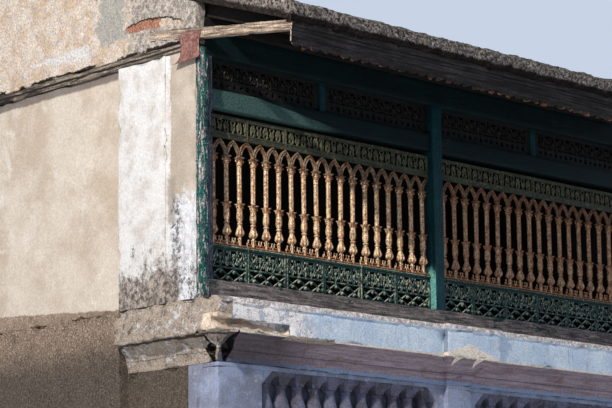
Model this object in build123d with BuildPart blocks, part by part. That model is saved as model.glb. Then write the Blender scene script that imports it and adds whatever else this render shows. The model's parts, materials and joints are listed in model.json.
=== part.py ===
from build123d import *
import math
import os

os.makedirs("parts", exist_ok=True)

# Enclosed gallery balcony with cast arcade screens, two bays long.
# X runs along the front, Y goes into the house, Z is up.
# The origin is on the bearing face of the base, under the middle post, in the plane of the posts.

# Screen module
COLUMN_PITCH = 152.4
COLUMNS_PER_PANEL = 3
PANELS_PER_BAY = 6
PANEL_JOINT = 3.0
PANEL_CLEAR = 3.0

# Timber frame
POST_W = 125.0
CORNER_POST_W = 90.0
POST_DEPTH = 130.0
SILL_H = 188.0
TRANSOM_H = 162.0
TRANSOM_SETBACK = 25.0
HEAD_BEAM_H = 220.0
WALL_PLATE_H = 116.0
CORNER_GAP = 40.0
JAMB_W = 60.0
JAMB_DEPTH = 90.0
MULLION_W = 70.0

# Iron panels
PANEL_Y = 80.0
PANEL_T = 24.0
GRILLE_H = 324.0
ARCADE_H = 925.0
FRIEZE_H = 200.0
FRIEZE_GAP = 42.0
FRET_H = 276.0
GRILLE_TOP_RAIL = 42.0
GRILLE_MID_RAIL = 16.0
GRILLE_FOOT_RAIL = 18.0
LATTICE_H = 100.0
GRILLE_BAR = 11.0

# Masonry base
PLINTH_H = 110.0
OPEN_H = 480.0
LINTEL_H = 35.0
COVE_H = 230.0
CORNICE_FASCIA_H = 236.0
FILLET_H = 50.0
WEATHERING_RISE = 19.0
CORNICE_PROJECTION = 190.0
FILLET_PROJECTION = 14.0
FRIEZE_FACE = 160.0
FRONT_WALL_INNER = 220.0
RECESS_DEPTH = 200.0
RECESS_CORNER = 120.0
RECESS_MARGIN = 4.5
BALUSTER_PITCH = 195.0
BALUSTERS_PER_BAY = 11
MIDDLE_PIER_W = 512.0
PILASTER_W = 330.0
PILASTER_PROUD = 50.0
BASE_SIDE_T = 210.0
CORNICE_RETURN = 1000.0
BREAK_H = 83.0
BREAK_LIP = 18.0
BREAK_TOP = 105.0
BREAK_W = 836.0
BREAK_DEPTH = 90.0
PIT_W = 115.0
PIT_H = 200.0
PIT_FOOT = 20.0
PIT_SETBACK = 64.0
PIT_REACH = 120.0

# Side walls, house wall and floor
HOUSE_DEPTH = 2850.0
WALL_T = 230.0
SIDE_STRIP_LEN = 380.0
SIDE_PILASTER_PROUD = 20.0
SIDE_PANEL_RECESS = 27.0
SIDE_PLATE_H = 90.0
FLOOR_T = 120.0
DOOR_W = 900.0
DOOR_H = 1950.0

# Roof
ROOF_PITCH = 19.0
ROOF_T = 165.0
EAVE_Y = 1165.0
EAVE_LIP = 60.0
VERGE_PROUD = 48.0
RAFTER_W = 75.0
RAFTER_H = 110.0
RAFTER_COUNT = 11
EAVE_BOARD_T = 28.0
EAVE_BOARD_H = 215.0
EAVE_LAP_STEP = 7.0
SCALLOP_PITCH = 115.0
SCALLOP_D = 22.0
OUTRIGGER_W = 75.0
OUTRIGGER_H = 85.0
OUTRIGGER_PITCH = 8.0
OUTRIGGER_TAIL = 600.0
OUTRIGGER_CLEAR = 3.0
SHEET_T = 3.0
SHEET_W = 300.0
SHEET_TOP = 60.0
SHEET_DROP = 200.0
SHEET_CURL_R = 70.0
SHEET_OVERHANG = 80.0

# Derived plan
PANEL_PITCH = COLUMN_PITCH * COLUMNS_PER_PANEL
PANEL_W = PANEL_PITCH - PANEL_JOINT
BAY_FIELD = PANEL_PITCH * PANELS_PER_BAY
BAY_CLEAR = BAY_FIELD + 2 * PANEL_CLEAR
BAY_PITCH = BAY_CLEAR + POST_W
BAY_X = BAY_PITCH / 2
CORNER_POST_X = BAY_PITCH - POST_W / 2 + CORNER_POST_W / 2
FRAME_HALF = CORNER_POST_X + CORNER_POST_W / 2
JAMB_X = FRAME_HALF + CORNER_GAP + JAMB_W / 2
WALL_HALF = FRAME_HALF + CORNER_GAP + JAMB_W
BASE_HALF = FRAME_HALF
RETURN_W = WALL_HALF - FRAME_HALF
WEATHERING_RUN = RETURN_W + SIDE_PILASTER_PROUD
RECESS_W = BALUSTERS_PER_BAY * BALUSTER_PITCH + 2 * RECESS_MARGIN
RECESS_X = (MIDDLE_PIER_W + RECESS_W) / 2
DOOR_X = -BAY_X

# Derived levels
Z_OPEN = PLINTH_H
Z_LINTEL = Z_OPEN + OPEN_H
Z_COVE = Z_LINTEL + LINTEL_H
Z_FASCIA = Z_COVE + COVE_H
Z_BREAK = Z_FASCIA + BREAK_H
Z_FILLET = Z_FASCIA + CORNICE_FASCIA_H
Z_LEDGE = Z_FILLET + FILLET_H
Z_SILL = Z_LEDGE + WEATHERING_RISE
Z_SCREEN = Z_SILL + SILL_H
Z_ARCADE = Z_SCREEN + GRILLE_H
Z_FRIEZE = Z_ARCADE + ARCADE_H
Z_TRANSOM = Z_FRIEZE + FRIEZE_H + FRIEZE_GAP
Z_FRET = Z_TRANSOM + TRANSOM_H
Z_HEAD = Z_FRET + FRET_H
Z_PLATE = Z_HEAD + HEAD_BEAM_H
Z_RAFTER = Z_PLATE + WALL_PLATE_H
SLOPE = math.tan(math.radians(ROOF_PITCH))
ROOF_VERTICAL = ROOF_T / math.cos(math.radians(ROOF_PITCH))
RAFTER_VERTICAL = RAFTER_H / math.cos(math.radians(ROOF_PITCH))


def roof_underside(y):
    return Z_RAFTER + RAFTER_VERTICAL + y * SLOPE


# The outriggers lean out under the roof, and the side plates lie just below them
OUTRIGGER_TIP = roof_underside(-EAVE_Y)
OUTRIGGER_SLOPE = math.tan(math.radians(OUTRIGGER_PITCH))
Z_GABLE = OUTRIGGER_TIP + EAVE_Y * OUTRIGGER_SLOPE - OUTRIGGER_H - OUTRIGGER_CLEAR
Z_SIDE_TOP = Z_GABLE - SIDE_PLATE_H


def turned(profile, sides):
    # a turned stem with flat facets, one tapered length for each pair of profile points
    flat = math.cos(math.pi / sides)
    with BuildPart() as stem:
        for (low, start), (high, end) in zip(profile, profile[1:]):
            with BuildSketch(Plane.XY.offset(low)):
                RegularPolygon(start, sides)
            extrude(amount=high - low, taper=math.degrees(math.atan((start - end) * flat / (high - low))))
    return stem.part


# Base of the front: a wall behind, and before it a plinth, piers and a lintel round each recess
with BuildPart() as base_front_wall:
    with BuildSketch():
        with Locations((0, (RECESS_DEPTH - FRIEZE_FACE + FRONT_WALL_INNER) / 2)):
            Rectangle(2 * BASE_HALF, FRONT_WALL_INNER + FRIEZE_FACE - RECESS_DEPTH)
    extrude(amount=Z_COVE)
base_front_wall.part.label = "base_front_wall"
export_step(base_front_wall.part, "parts/base_front_wall.step")

FACING_Y = RECESS_DEPTH / 2 - FRIEZE_FACE
for name, low, high in (("plinth", 0, PLINTH_H), ("lintel", Z_LINTEL, Z_COVE)):
    with BuildPart() as course:
        with BuildSketch(Plane.XY.offset(low)):
            with Locations((0, FACING_Y)):
                Rectangle(2 * BASE_HALF, RECESS_DEPTH)
            with Locations((0, -FRIEZE_FACE - PILASTER_PROUD / 2)):
                Rectangle(PILASTER_W, PILASTER_PROUD)
        extrude(amount=high - low)
    course.part.label = f"base_{name}"
    export_step(course.part, f"parts/base_{name}.step")

# the recess's upper corners are cut off under the lintel
with BuildPart() as base_piers:
    with BuildSketch(Plane.XZ.offset(FRIEZE_FACE)):
        with Locations((0, Z_OPEN + OPEN_H / 2)):
            Rectangle(2 * BASE_HALF, OPEN_H)
        with BuildSketch(mode=Mode.SUBTRACT):
            with Locations((-RECESS_X, Z_OPEN + OPEN_H / 2), (RECESS_X, Z_OPEN + OPEN_H / 2)):
                opening = Rectangle(RECESS_W, OPEN_H)
            chamfer(opening.vertices().group_by(Axis.Y)[-1], RECESS_CORNER)
    extrude(amount=-RECESS_DEPTH)
    with BuildSketch(Plane.XZ.offset(FRIEZE_FACE)):
        with Locations((0, Z_OPEN + OPEN_H / 2)):
            Rectangle(PILASTER_W, OPEN_H)
    extrude(amount=PILASTER_PROUD)
base_piers.part.label = "base_piers"
export_step(base_piers.part, "parts/base_piers.step")

# One baluster: square foot, turned belly and neck, flared square cap
BALUSTER_FOOT = 55.0
BALUSTER_FOOT_W = 150.0
BALUSTER_BELLY_R = 84.0
BALUSTER_NECK_R = 46.0
BALUSTER_CAP_H = 105.0
BALUSTER_CAP_W = 190.0
BALUSTER_SIDES = 6
BALUSTER_CAP_NECK = 2.4 * BALUSTER_NECK_R
BALUSTER_CAP_FLARE = math.degrees(math.atan((BALUSTER_CAP_W - BALUSTER_CAP_NECK) / 1.4 / BALUSTER_CAP_H))
BALUSTER_STEM = OPEN_H - BALUSTER_FOOT - BALUSTER_CAP_H
STEM_PROFILE = [
    (BALUSTER_FOOT + share * BALUSTER_STEM, radius)
    for share, radius in (
        (0.0, BALUSTER_NECK_R * 1.2),
        (0.25, BALUSTER_BELLY_R),
        (0.45, BALUSTER_BELLY_R * 0.92),
        (0.80, BALUSTER_NECK_R),
        (1.0, BALUSTER_NECK_R * 1.1),
    )
]
with BuildPart() as baluster:
    with BuildSketch():
        Rectangle(BALUSTER_FOOT_W, BALUSTER_FOOT_W)
    extrude(amount=BALUSTER_FOOT)
    add(turned(STEM_PROFILE, BALUSTER_SIDES))
    with BuildSketch(Plane.XY.offset(OPEN_H)):
        Rectangle(BALUSTER_CAP_W, BALUSTER_CAP_W)
    extrude(amount=-0.3 * BALUSTER_CAP_H)
    with BuildSketch(Plane.XY.offset(OPEN_H - BALUSTER_CAP_H)):
        Rectangle(BALUSTER_CAP_NECK, BALUSTER_CAP_NECK)
    extrude(amount=0.7 * BALUSTER_CAP_H, taper=-BALUSTER_CAP_FLARE)

# Balusters of each bay, the end ones cut where they meet the corners of the recess
BALUSTER_Y = -FRIEZE_FACE + RECESS_DEPTH / 2
for number, recess_x in ((1, -RECESS_X), (2, RECESS_X)):
    with BuildPart() as balusters:
        with Locations((recess_x, BALUSTER_Y, Z_OPEN)):
            with GridLocations(BALUSTER_PITCH, 1, BALUSTERS_PER_BAY, 1):
                add(baluster.part)
        add(base_piers.part, mode=Mode.SUBTRACT)
    balusters.part.label = f"balusters_bay_{number}"
    export_step(balusters.part, f"parts/balusters_bay_{number}.step")

# Side walls of the base, behind the front wall
SIDES = (("left", -1), ("right", 1))
for name, side in SIDES:
    with BuildPart() as base_side:
        with BuildSketch():
            with Locations((side * (BASE_HALF - BASE_SIDE_T / 2), (FRONT_WALL_INNER + HOUSE_DEPTH) / 2)):
                Rectangle(BASE_SIDE_T, HOUSE_DEPTH - FRONT_WALL_INNER)
        extrude(amount=Z_COVE)
        thick_x = side * (WALL_HALF + BASE_HALF - BASE_SIDE_T) / 2
        with BuildSketch():
            with Locations((thick_x, (CORNICE_RETURN + HOUSE_DEPTH) / 2)):
                Rectangle(BASE_SIDE_T + RETURN_W, HOUSE_DEPTH - CORNICE_RETURN)
        extrude(amount=Z_SILL)
    base_side.part.label = f"base_side_{name}"
    export_step(base_side.part, f"parts/base_side_{name}.step")

# Cornice: cove, fascia and fillet round the front and both returns, mitred at the corners,
# and broken forward over the middle pilaster in the same way
CORNICE_REACH = CORNICE_PROJECTION + FILLET_PROJECTION
COVE_RADIUS = 1.15 * COVE_H


def cornice_points(face, sign):
    # fascia and fillet from the top of the cove up to the flat top, outward from a wall face
    return [
        (face + sign * CORNICE_PROJECTION, Z_FASCIA),
        (face + sign * CORNICE_PROJECTION, Z_FILLET),
        (face + sign * CORNICE_REACH, Z_FILLET),
        (face + sign * CORNICE_REACH, Z_LEDGE),
        (face + sign * WEATHERING_RUN, Z_SILL),
    ]


def pit_points(middle):
    # a six-sided flame shape, pointed above and below
    foot = Z_COVE + PIT_FOOT
    return [
        (middle, foot),
        (middle + PIT_W / 2, foot + PIT_H / 3),
        (middle + 0.35 * PIT_W, foot + 0.7 * PIT_H),
        (middle, foot + PIT_H),
        (middle - 0.35 * PIT_W, foot + 0.7 * PIT_H),
        (middle - PIT_W / 2, foot + PIT_H / 3),
    ]


with BuildPart() as pilaster_cornice:
    pilaster_face = -FRIEZE_FACE - PILASTER_PROUD
    with BuildSketch(Plane.YZ):
        with BuildLine():
            RadiusArc((pilaster_face, Z_COVE), (pilaster_face - CORNICE_PROJECTION, Z_FASCIA), -COVE_RADIUS)
            Polyline(*cornice_points(pilaster_face, -1), (0, Z_SILL), (0, Z_COVE), (pilaster_face, Z_COVE))
        make_face()
    extrude(amount=PILASTER_W / 2 + CORNICE_REACH, both=True)
    with BuildSketch(Plane.XZ.offset(-FRONT_WALL_INNER)):
        with BuildLine():
            edge = PILASTER_W / 2
            RadiusArc((-edge, Z_COVE), (-edge - CORNICE_PROJECTION, Z_FASCIA), -COVE_RADIUS)
            RadiusArc((edge, Z_COVE), (edge + CORNICE_PROJECTION, Z_FASCIA), COVE_RADIUS)
            Polyline(*cornice_points(-edge, -1), *reversed(cornice_points(edge, 1)))
            Line((-edge, Z_COVE), (edge, Z_COVE))
        make_face()
    extrude(amount=2 * BASE_HALF, mode=Mode.INTERSECT)

with BuildPart() as cornice:
    with BuildSketch(Plane.YZ):
        with BuildLine():
            RadiusArc((-FRIEZE_FACE, Z_COVE), (-FRIEZE_FACE - CORNICE_PROJECTION, Z_FASCIA), -COVE_RADIUS)
            Polyline(
                *cornice_points(-FRIEZE_FACE, -1),
                (CORNICE_RETURN, Z_SILL),
                (CORNICE_RETURN, Z_COVE),
                (-FRIEZE_FACE, Z_COVE),
            )
        make_face()
    extrude(amount=BASE_HALF + CORNICE_REACH, both=True)
    with BuildSketch(Plane.XZ.offset(-CORNICE_RETURN)):
        with BuildLine():
            RadiusArc((-BASE_HALF, Z_COVE), (-BASE_HALF - CORNICE_PROJECTION, Z_FASCIA), -COVE_RADIUS)
            RadiusArc((BASE_HALF, Z_COVE), (BASE_HALF + CORNICE_PROJECTION, Z_FASCIA), COVE_RADIUS)
            Polyline(
                *cornice_points(-BASE_HALF, -1),
                *reversed(cornice_points(BASE_HALF, 1)),
            )
            Line((-BASE_HALF, Z_COVE), (BASE_HALF, Z_COVE))
        make_face()
    extrude(amount=CORNICE_RETURN + FRIEZE_FACE + CORNICE_REACH, mode=Mode.INTERSECT)
    with BuildSketch(Plane.XY.offset(Z_COVE)):
        with Locations((0, (FRONT_WALL_INNER + CORNICE_RETURN) / 2)):
            Rectangle(2 * (BASE_HALF - BASE_SIDE_T), CORNICE_RETURN - FRONT_WALL_INNER)
    extrude(amount=Z_SILL - Z_COVE, mode=Mode.SUBTRACT)
    add(pilaster_cornice.part)
    # the left return has lost its fascia, and slopes from the foot of the wall down to a ledge
    with BuildSketch(Plane.XZ.offset(-CORNICE_RETURN)):
        with BuildLine():
            Polyline(
                (-BASE_HALF - CORNICE_REACH, Z_BREAK),
                (-BASE_HALF - CORNICE_PROJECTION, Z_BREAK),
                (-BASE_HALF - WEATHERING_RUN, Z_SILL),
                (-BASE_HALF - CORNICE_REACH, Z_SILL),
                close=True,
            )
        make_face()
    extrude(amount=CORNICE_RETURN + FRIEZE_FACE + CORNICE_REACH, mode=Mode.SUBTRACT)
    # the lower edge of the front fascia is broken off in a wedge near the left corner
    with BuildSketch(Plane.YZ.offset(-BASE_HALF - CORNICE_REACH)):
        with BuildLine():
            Polyline(
                (-FRIEZE_FACE - CORNICE_REACH, Z_FASCIA + BREAK_LIP),
                (-FRIEZE_FACE - CORNICE_PROJECTION, Z_FASCIA + BREAK_LIP),
                (-FRIEZE_FACE - CORNICE_PROJECTION + BREAK_DEPTH, Z_FASCIA + BREAK_TOP),
                (-FRIEZE_FACE - CORNICE_REACH, Z_FASCIA + BREAK_TOP),
                close=True,
            )
        make_face()
    extrude(amount=BREAK_W, mode=Mode.SUBTRACT)
    # two pits worn into the cove, one on each side of the left corner
    with BuildSketch(Plane.XZ.offset(FRIEZE_FACE + CORNICE_PROJECTION)):
        with BuildLine():
            Polyline(*pit_points(-BASE_HALF + PIT_SETBACK), close=True)
        make_face()
    extrude(amount=-CORNICE_PROJECTION - PIT_REACH, mode=Mode.SUBTRACT)
    with BuildSketch(Plane.YZ.offset(-BASE_HALF - CORNICE_PROJECTION)):
        with BuildLine():
            Polyline(*pit_points(-FRIEZE_FACE + PIT_SETBACK), close=True)
        make_face()
    extrude(amount=CORNICE_PROJECTION + PIT_REACH, mode=Mode.SUBTRACT)
cornice.part.label = "cornice"
export_step(cornice.part, "parts/cornice.step")

# Floor slab between the walls, its top level with the underside of the sill
with BuildPart() as floor_slab:
    with BuildSketch(Plane.XY.offset(Z_SILL - FLOOR_T)):
        with Locations((0, (FRONT_WALL_INNER + HOUSE_DEPTH - WALL_T) / 2)):
            Rectangle(2 * (BASE_HALF - BASE_SIDE_T), HOUSE_DEPTH - WALL_T - FRONT_WALL_INNER)
    extrude(amount=FLOOR_T)
floor_slab.part.label = "floor_slab"
export_step(floor_slab.part, "parts/floor_slab.step")

# Timber sill under both bays
with BuildPart() as sill:
    with BuildSketch(Plane.XY.offset(Z_SILL)):
        with Locations((0, POST_DEPTH / 2)):
            Rectangle(2 * FRAME_HALF, POST_DEPTH)
    extrude(amount=SILL_H)
sill.part.label = "sill"
export_step(sill.part, "parts/sill.step")

# Posts, from the sill to the head beam
POSTS = (
    ("left", -CORNER_POST_X, CORNER_POST_W),
    ("middle", 0, POST_W),
    ("right", CORNER_POST_X, CORNER_POST_W),
)
for name, x, width in POSTS:
    with BuildPart() as post:
        with BuildSketch(Plane.XY.offset(Z_SCREEN)):
            with Locations((x, POST_DEPTH / 2)):
                Rectangle(width, POST_DEPTH)
        extrude(amount=Z_HEAD - Z_SCREEN)
    post.part.label = f"post_{name}"
    export_step(post.part, f"parts/post_{name}.step")

# Head beam over the posts and the wall plate on it, which carries the rafters
with BuildPart() as head_beam:
    with BuildSketch(Plane.XY.offset(Z_HEAD)):
        with Locations((0, POST_DEPTH / 2)):
            Rectangle(2 * FRAME_HALF, POST_DEPTH)
    extrude(amount=HEAD_BEAM_H)
head_beam.part.label = "head_beam"
export_step(head_beam.part, "parts/head_beam.step")

with BuildPart() as wall_plate:
    with BuildSketch(Plane.XY.offset(Z_PLATE)):
        with Locations((0, POST_DEPTH / 2)):
            Rectangle(2 * FRAME_HALF, POST_DEPTH)
    extrude(amount=WALL_PLATE_H)
wall_plate.part.label = "wall_plate"
export_step(wall_plate.part, "parts/wall_plate.step")

# Transoms between the posts
for number, bay_x in ((1, -BAY_X), (2, BAY_X)):
    with BuildPart() as transom:
        with BuildSketch(Plane.XY.offset(Z_TRANSOM)):
            with Locations((bay_x, (TRANSOM_SETBACK + POST_DEPTH) / 2)):
                Rectangle(BAY_CLEAR, POST_DEPTH - TRANSOM_SETBACK)
        extrude(amount=TRANSOM_H)
    transom.part.label = f"transom_bay_{number}"
    export_step(transom.part, f"parts/transom_bay_{number}.step")

# Mullions that halve the upper lights
with BuildPart() as mullions:
    with BuildSketch(Plane.XY.offset(Z_FRET)):
        with Locations((-BAY_X, PANEL_Y), (BAY_X, PANEL_Y)):
            Rectangle(MULLION_W, POST_DEPTH - PANEL_Y)
    extrude(amount=FRET_H)
mullions.part.label = "mullions"
export_step(mullions.part, "parts/mullions.step")

# Fretwork board of an upper light: slots over a row of diamonds
FRET_W = (BAY_CLEAR - MULLION_W) / 2
FRET_MARGIN = 40.0
FRET_MOTIF = 305.0
SLOT_W = 34.0
FRET_MOTIFS = int((FRET_W - FRET_MARGIN) // FRET_MOTIF)
with BuildPart() as fret:
    with BuildSketch(Plane.XZ):
        with Locations((0, FRET_H / 2)):
            Rectangle(FRET_W, FRET_H)
        with Locations((0, 0.64 * FRET_H)):
            with GridLocations(FRET_MOTIF, 1, FRET_MOTIFS, 1):
                with GridLocations(FRET_MOTIF / 2, 1, 2, 1):
                    Rectangle(SLOT_W, 0.42 * FRET_H, mode=Mode.SUBTRACT)
        with Locations((0, 0.24 * FRET_H)):
            with GridLocations(FRET_MOTIF, 1, FRET_MOTIFS, 1):
                RegularPolygon(0.16 * FRET_MOTIF, 4, mode=Mode.SUBTRACT)
    extrude(amount=PANEL_T / 2, both=True)

for number, bay_x in ((1, -BAY_X), (2, BAY_X)):
    with BuildPart() as frets:
        with Locations((bay_x, PANEL_Y, Z_FRET)):
            with GridLocations(FRET_W + MULLION_W, 1, 2, 1):
                add(fret.part)
    frets.part.label = f"fret_bay_{number}"
    export_step(frets.part, f"parts/fret_bay_{number}.step")

# Lower grille casting: lattice of diamonds, band of scrolls, torus rail on top
SCROLL_Z = GRILLE_FOOT_RAIL + LATTICE_H + GRILLE_MID_RAIL
SCROLL_H = GRILLE_H - GRILLE_TOP_RAIL - SCROLL_Z
LATTICE_RUN = math.hypot(COLUMN_PITCH, LATTICE_H)
LATTICE_ANGLE = math.degrees(math.atan2(LATTICE_H, COLUMN_PITCH))
SCROLL_LEAN = 14.0
SCROLL_GAP_H = SCROLL_H - 2 * GRILLE_BAR
SCROLL_GAP_W = 0.5 * COLUMN_PITCH - 1.6 * GRILLE_BAR
with BuildSketch() as scroll_gap:
    with BuildLine():
        Polyline(
            (0, SCROLL_GAP_H / 2),
            (SCROLL_GAP_W / 2, -SCROLL_GAP_H / 2),
            (-SCROLL_GAP_W / 2, -SCROLL_GAP_H / 2),
            close=True,
        )
    make_face()

with BuildPart() as grille:
    with BuildSketch(Plane.XZ):
        with Locations((0, GRILLE_FOOT_RAIL / 2)):
            Rectangle(PANEL_W, GRILLE_FOOT_RAIL)
        with Locations((0, SCROLL_Z - GRILLE_MID_RAIL / 2)):
            Rectangle(PANEL_W, GRILLE_MID_RAIL)
        with Locations((0, GRILLE_H - GRILLE_TOP_RAIL / 2)):
            Rectangle(PANEL_W, GRILLE_TOP_RAIL)
        with Locations((0, GRILLE_FOOT_RAIL + LATTICE_H / 2)):
            with GridLocations(COLUMN_PITCH, 1, COLUMNS_PER_PANEL, 1):
                Rectangle(LATTICE_RUN + GRILLE_BAR, GRILLE_BAR, rotation=LATTICE_ANGLE)
                Rectangle(LATTICE_RUN + GRILLE_BAR, GRILLE_BAR, rotation=-LATTICE_ANGLE)
        with Locations((0, SCROLL_Z + SCROLL_H / 2)):
            Rectangle(PANEL_W, SCROLL_H)
            with GridLocations(COLUMN_PITCH, 1, COLUMNS_PER_PANEL, 1):
                with Locations(
                    Location((-COLUMN_PITCH / 4, 0), SCROLL_LEAN),
                    Location((COLUMN_PITCH / 4, 0), -SCROLL_LEAN),
                ):
                    add(scroll_gap.sketch, mode=Mode.SUBTRACT)
        with Locations((0, GRILLE_H / 2)):
            Rectangle(PANEL_W, GRILLE_H, mode=Mode.INTERSECT)
    extrude(amount=PANEL_T / 2, both=True)

# Arcade casting: three turned columns under lancet arches
COLUMN_SIDES = 6
APEX_TRIM = 2.0
ARCH_HALF = 56.0
ARCH_RADIUS = 142.0
ARCH_RIB = 32.0
ARCH_FACETS = 2
FOOT_BAR = 14.0
COLUMN_PROFILE = (
    (0.0, 26.0),
    (0.13, 31.0),
    (0.235, 16.0),
    (0.36, 30.0),
    (0.475, 20.0),
    (0.95, 23.0),
    (1.0, 40.0),
)


def lancet(extra):
    # right half of the arch in flat facets, from the springing to the apex
    reach = ARCH_RADIUS + extra
    back = ARCH_RADIUS - ARCH_HALF
    turn = math.acos(back / reach)
    angles = [turn * step / ARCH_FACETS for step in range(ARCH_FACETS + 1)]
    return [(reach * math.cos(angle) - back, reach * math.sin(angle)) for angle in angles]


outer_side = lancet(ARCH_RIB)
inner_side = lancet(0)
SPRING_H = ARCADE_H - outer_side[-1][1] + APEX_TRIM
with BuildSketch() as outer_lancet:
    with BuildLine():
        Polyline(*outer_side)
        mirror(about=Plane.YZ)
        Line((-outer_side[0][0], 0), outer_side[0])
    make_face()
with BuildSketch() as inner_lancet:
    with BuildLine():
        Polyline(*inner_side)
        mirror(about=Plane.YZ)
        Line((-inner_side[0][0], 0), inner_side[0])
    make_face()

column = turned([(share * SPRING_H, radius) for share, radius in COLUMN_PROFILE], COLUMN_SIDES)

with BuildPart() as arcade:
    with BuildSketch(Plane.XZ):
        with Locations((0, SPRING_H)):
            with GridLocations(COLUMN_PITCH, 1, COLUMNS_PER_PANEL + 1, 1):
                add(outer_lancet.sketch)
        with Locations((0, SPRING_H)):
            with GridLocations(COLUMN_PITCH, 1, COLUMNS_PER_PANEL + 1, 1):
                add(inner_lancet.sketch, mode=Mode.SUBTRACT)
        with Locations((0, FOOT_BAR / 2)):
            Rectangle(PANEL_W, FOOT_BAR)
        with Locations((0, ARCADE_H / 2)):
            Rectangle(PANEL_W, ARCADE_H, mode=Mode.INTERSECT)
    extrude(amount=PANEL_T / 2, both=True)
    with GridLocations(COLUMN_PITCH, 1, COLUMNS_PER_PANEL, 1):
        add(column)

# Frieze casting: two staggered rows of drops over a plain rail
FRIEZE_RAIL = 45.0
DROP_W = 44.0
DROP_H = 54.0
DROPS_PER_ROW = 4
DROP_PITCH = PANEL_W / DROPS_PER_ROW
PIERCED_H = FRIEZE_H - FRIEZE_RAIL
with BuildSketch() as drop:
    with BuildLine():
        Polyline(
            (0, DROP_H / 2),
            (DROP_W / 2, -DROP_H / 6),
            (0, -DROP_H / 2),
            (-DROP_W / 2, -DROP_H / 6),
            close=True,
        )
    make_face()

with BuildPart() as frieze:
    with BuildSketch(Plane.XZ):
        with Locations((0, FRIEZE_H / 2)):
            Rectangle(PANEL_W, FRIEZE_H)
        with Locations((0, FRIEZE_RAIL + 0.26 * PIERCED_H)):
            with GridLocations(DROP_PITCH, 1, DROPS_PER_ROW, 1):
                add(drop.sketch, mode=Mode.SUBTRACT)
        with Locations((0, FRIEZE_RAIL + 0.70 * PIERCED_H)):
            with GridLocations(DROP_PITCH, 1, DROPS_PER_ROW - 1, 1):
                add(drop.sketch, mode=Mode.SUBTRACT)
    extrude(amount=PANEL_T / 2, both=True)

CASTINGS = (("grille", grille, Z_SCREEN), ("arcade", arcade, Z_ARCADE), ("frieze", frieze, Z_FRIEZE))
for kind, casting, level in CASTINGS:
    for number, bay_x in ((1, -BAY_X), (2, BAY_X)):
        with BuildPart() as row:
            with Locations((bay_x, PANEL_Y, level)):
                with GridLocations(PANEL_PITCH, 1, PANELS_PER_BAY, 1):
                    add(casting.part)
        row.part.label = f"{kind}_bay_{number}"
        export_step(row.part, f"parts/{kind}_bay_{number}.step")

# Jambs that stand before the ends of the side walls
with BuildPart() as jambs:
    with BuildSketch(Plane.XY.offset(Z_SILL)):
        with Locations((0, -JAMB_DEPTH / 2)):
            with GridLocations(2 * JAMB_X, 1, 2, 1):
                Rectangle(JAMB_W, JAMB_DEPTH)
    extrude(amount=Z_SIDE_TOP - Z_SILL)
jambs.part.label = "jambs"
export_step(jambs.part, "parts/jambs.step")

# Side walls: plaster strip, proud pilaster and recessed panel in one wall
for name, side in SIDES:
    with BuildPart() as side_wall:
        with BuildSketch(Plane.XY.offset(Z_SILL)):
            with BuildLine():
                outer = side * WALL_HALF
                proud = side * (WALL_HALF + SIDE_PILASTER_PROUD)
                panel = side * (WALL_HALF - SIDE_PANEL_RECESS)
                inner = side * (WALL_HALF - WALL_T)
                Polyline(
                    (outer, 0),
                    (outer, SIDE_STRIP_LEN),
                    (proud, SIDE_STRIP_LEN),
                    (proud, CORNICE_RETURN),
                    (panel, CORNICE_RETURN),
                    (panel, HOUSE_DEPTH),
                    (inner, HOUSE_DEPTH),
                    (inner, POST_DEPTH),
                    (side * FRAME_HALF, POST_DEPTH),
                    (side * FRAME_HALF, 0),
                    close=True,
                )
            make_face()
        extrude(amount=Z_SIDE_TOP - Z_SILL)
    side_wall.part.label = f"side_wall_{name}"
    export_step(side_wall.part, f"parts/side_wall_{name}.step")

# Timber plates along the side walls
with BuildPart() as side_plates:
    with BuildSketch(Plane.XY.offset(Z_SIDE_TOP)):
        with Locations((0, HOUSE_DEPTH / 2)):
            with GridLocations(2 * WALL_HALF - RETURN_W, 1, 2, 1):
                Rectangle(RETURN_W, HOUSE_DEPTH)
    extrude(amount=SIDE_PLATE_H)
side_plates.part.label = "side_plates"
export_step(side_plates.part, "parts/side_plates.step")

# Outrigger timbers that lean out to the ends of the eave boards
OUTRIGGER_RISE = (EAVE_Y + OUTRIGGER_TAIL) * OUTRIGGER_SLOPE
with BuildPart() as outriggers:
    for side in (-1, 1):
        with BuildSketch(Plane.YZ.offset(side * (WALL_HALF - OUTRIGGER_W / 2))):
            with BuildLine():
                Polyline(
                    (-EAVE_Y, OUTRIGGER_TIP - OUTRIGGER_H),
                    (-EAVE_Y, OUTRIGGER_TIP),
                    (OUTRIGGER_TAIL, OUTRIGGER_TIP + OUTRIGGER_RISE),
                    (OUTRIGGER_TAIL, OUTRIGGER_TIP + OUTRIGGER_RISE - OUTRIGGER_H),
                    close=True,
                )
            make_face()
        extrude(amount=OUTRIGGER_W / 2, both=True)
outriggers.part.label = "outriggers"
export_step(outriggers.part, "parts/outriggers.step")

# Gable infill between the plates and the roof, pocketed for the outriggers
for name, side in SIDES:
    with BuildPart() as gable:
        with BuildSketch(Plane.YZ.offset(side * (WALL_HALF - RETURN_W / 2))):
            with BuildLine():
                Polyline(
                    (0, Z_GABLE),
                    (0, roof_underside(0)),
                    (HOUSE_DEPTH, roof_underside(HOUSE_DEPTH)),
                    (HOUSE_DEPTH, Z_GABLE),
                    close=True,
                )
            make_face()
        extrude(amount=RETURN_W / 2, both=True)
        add(outriggers.part, mode=Mode.SUBTRACT)
    gable.part.label = f"gable_{name}"
    export_step(gable.part, f"parts/gable_{name}.step")

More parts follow.
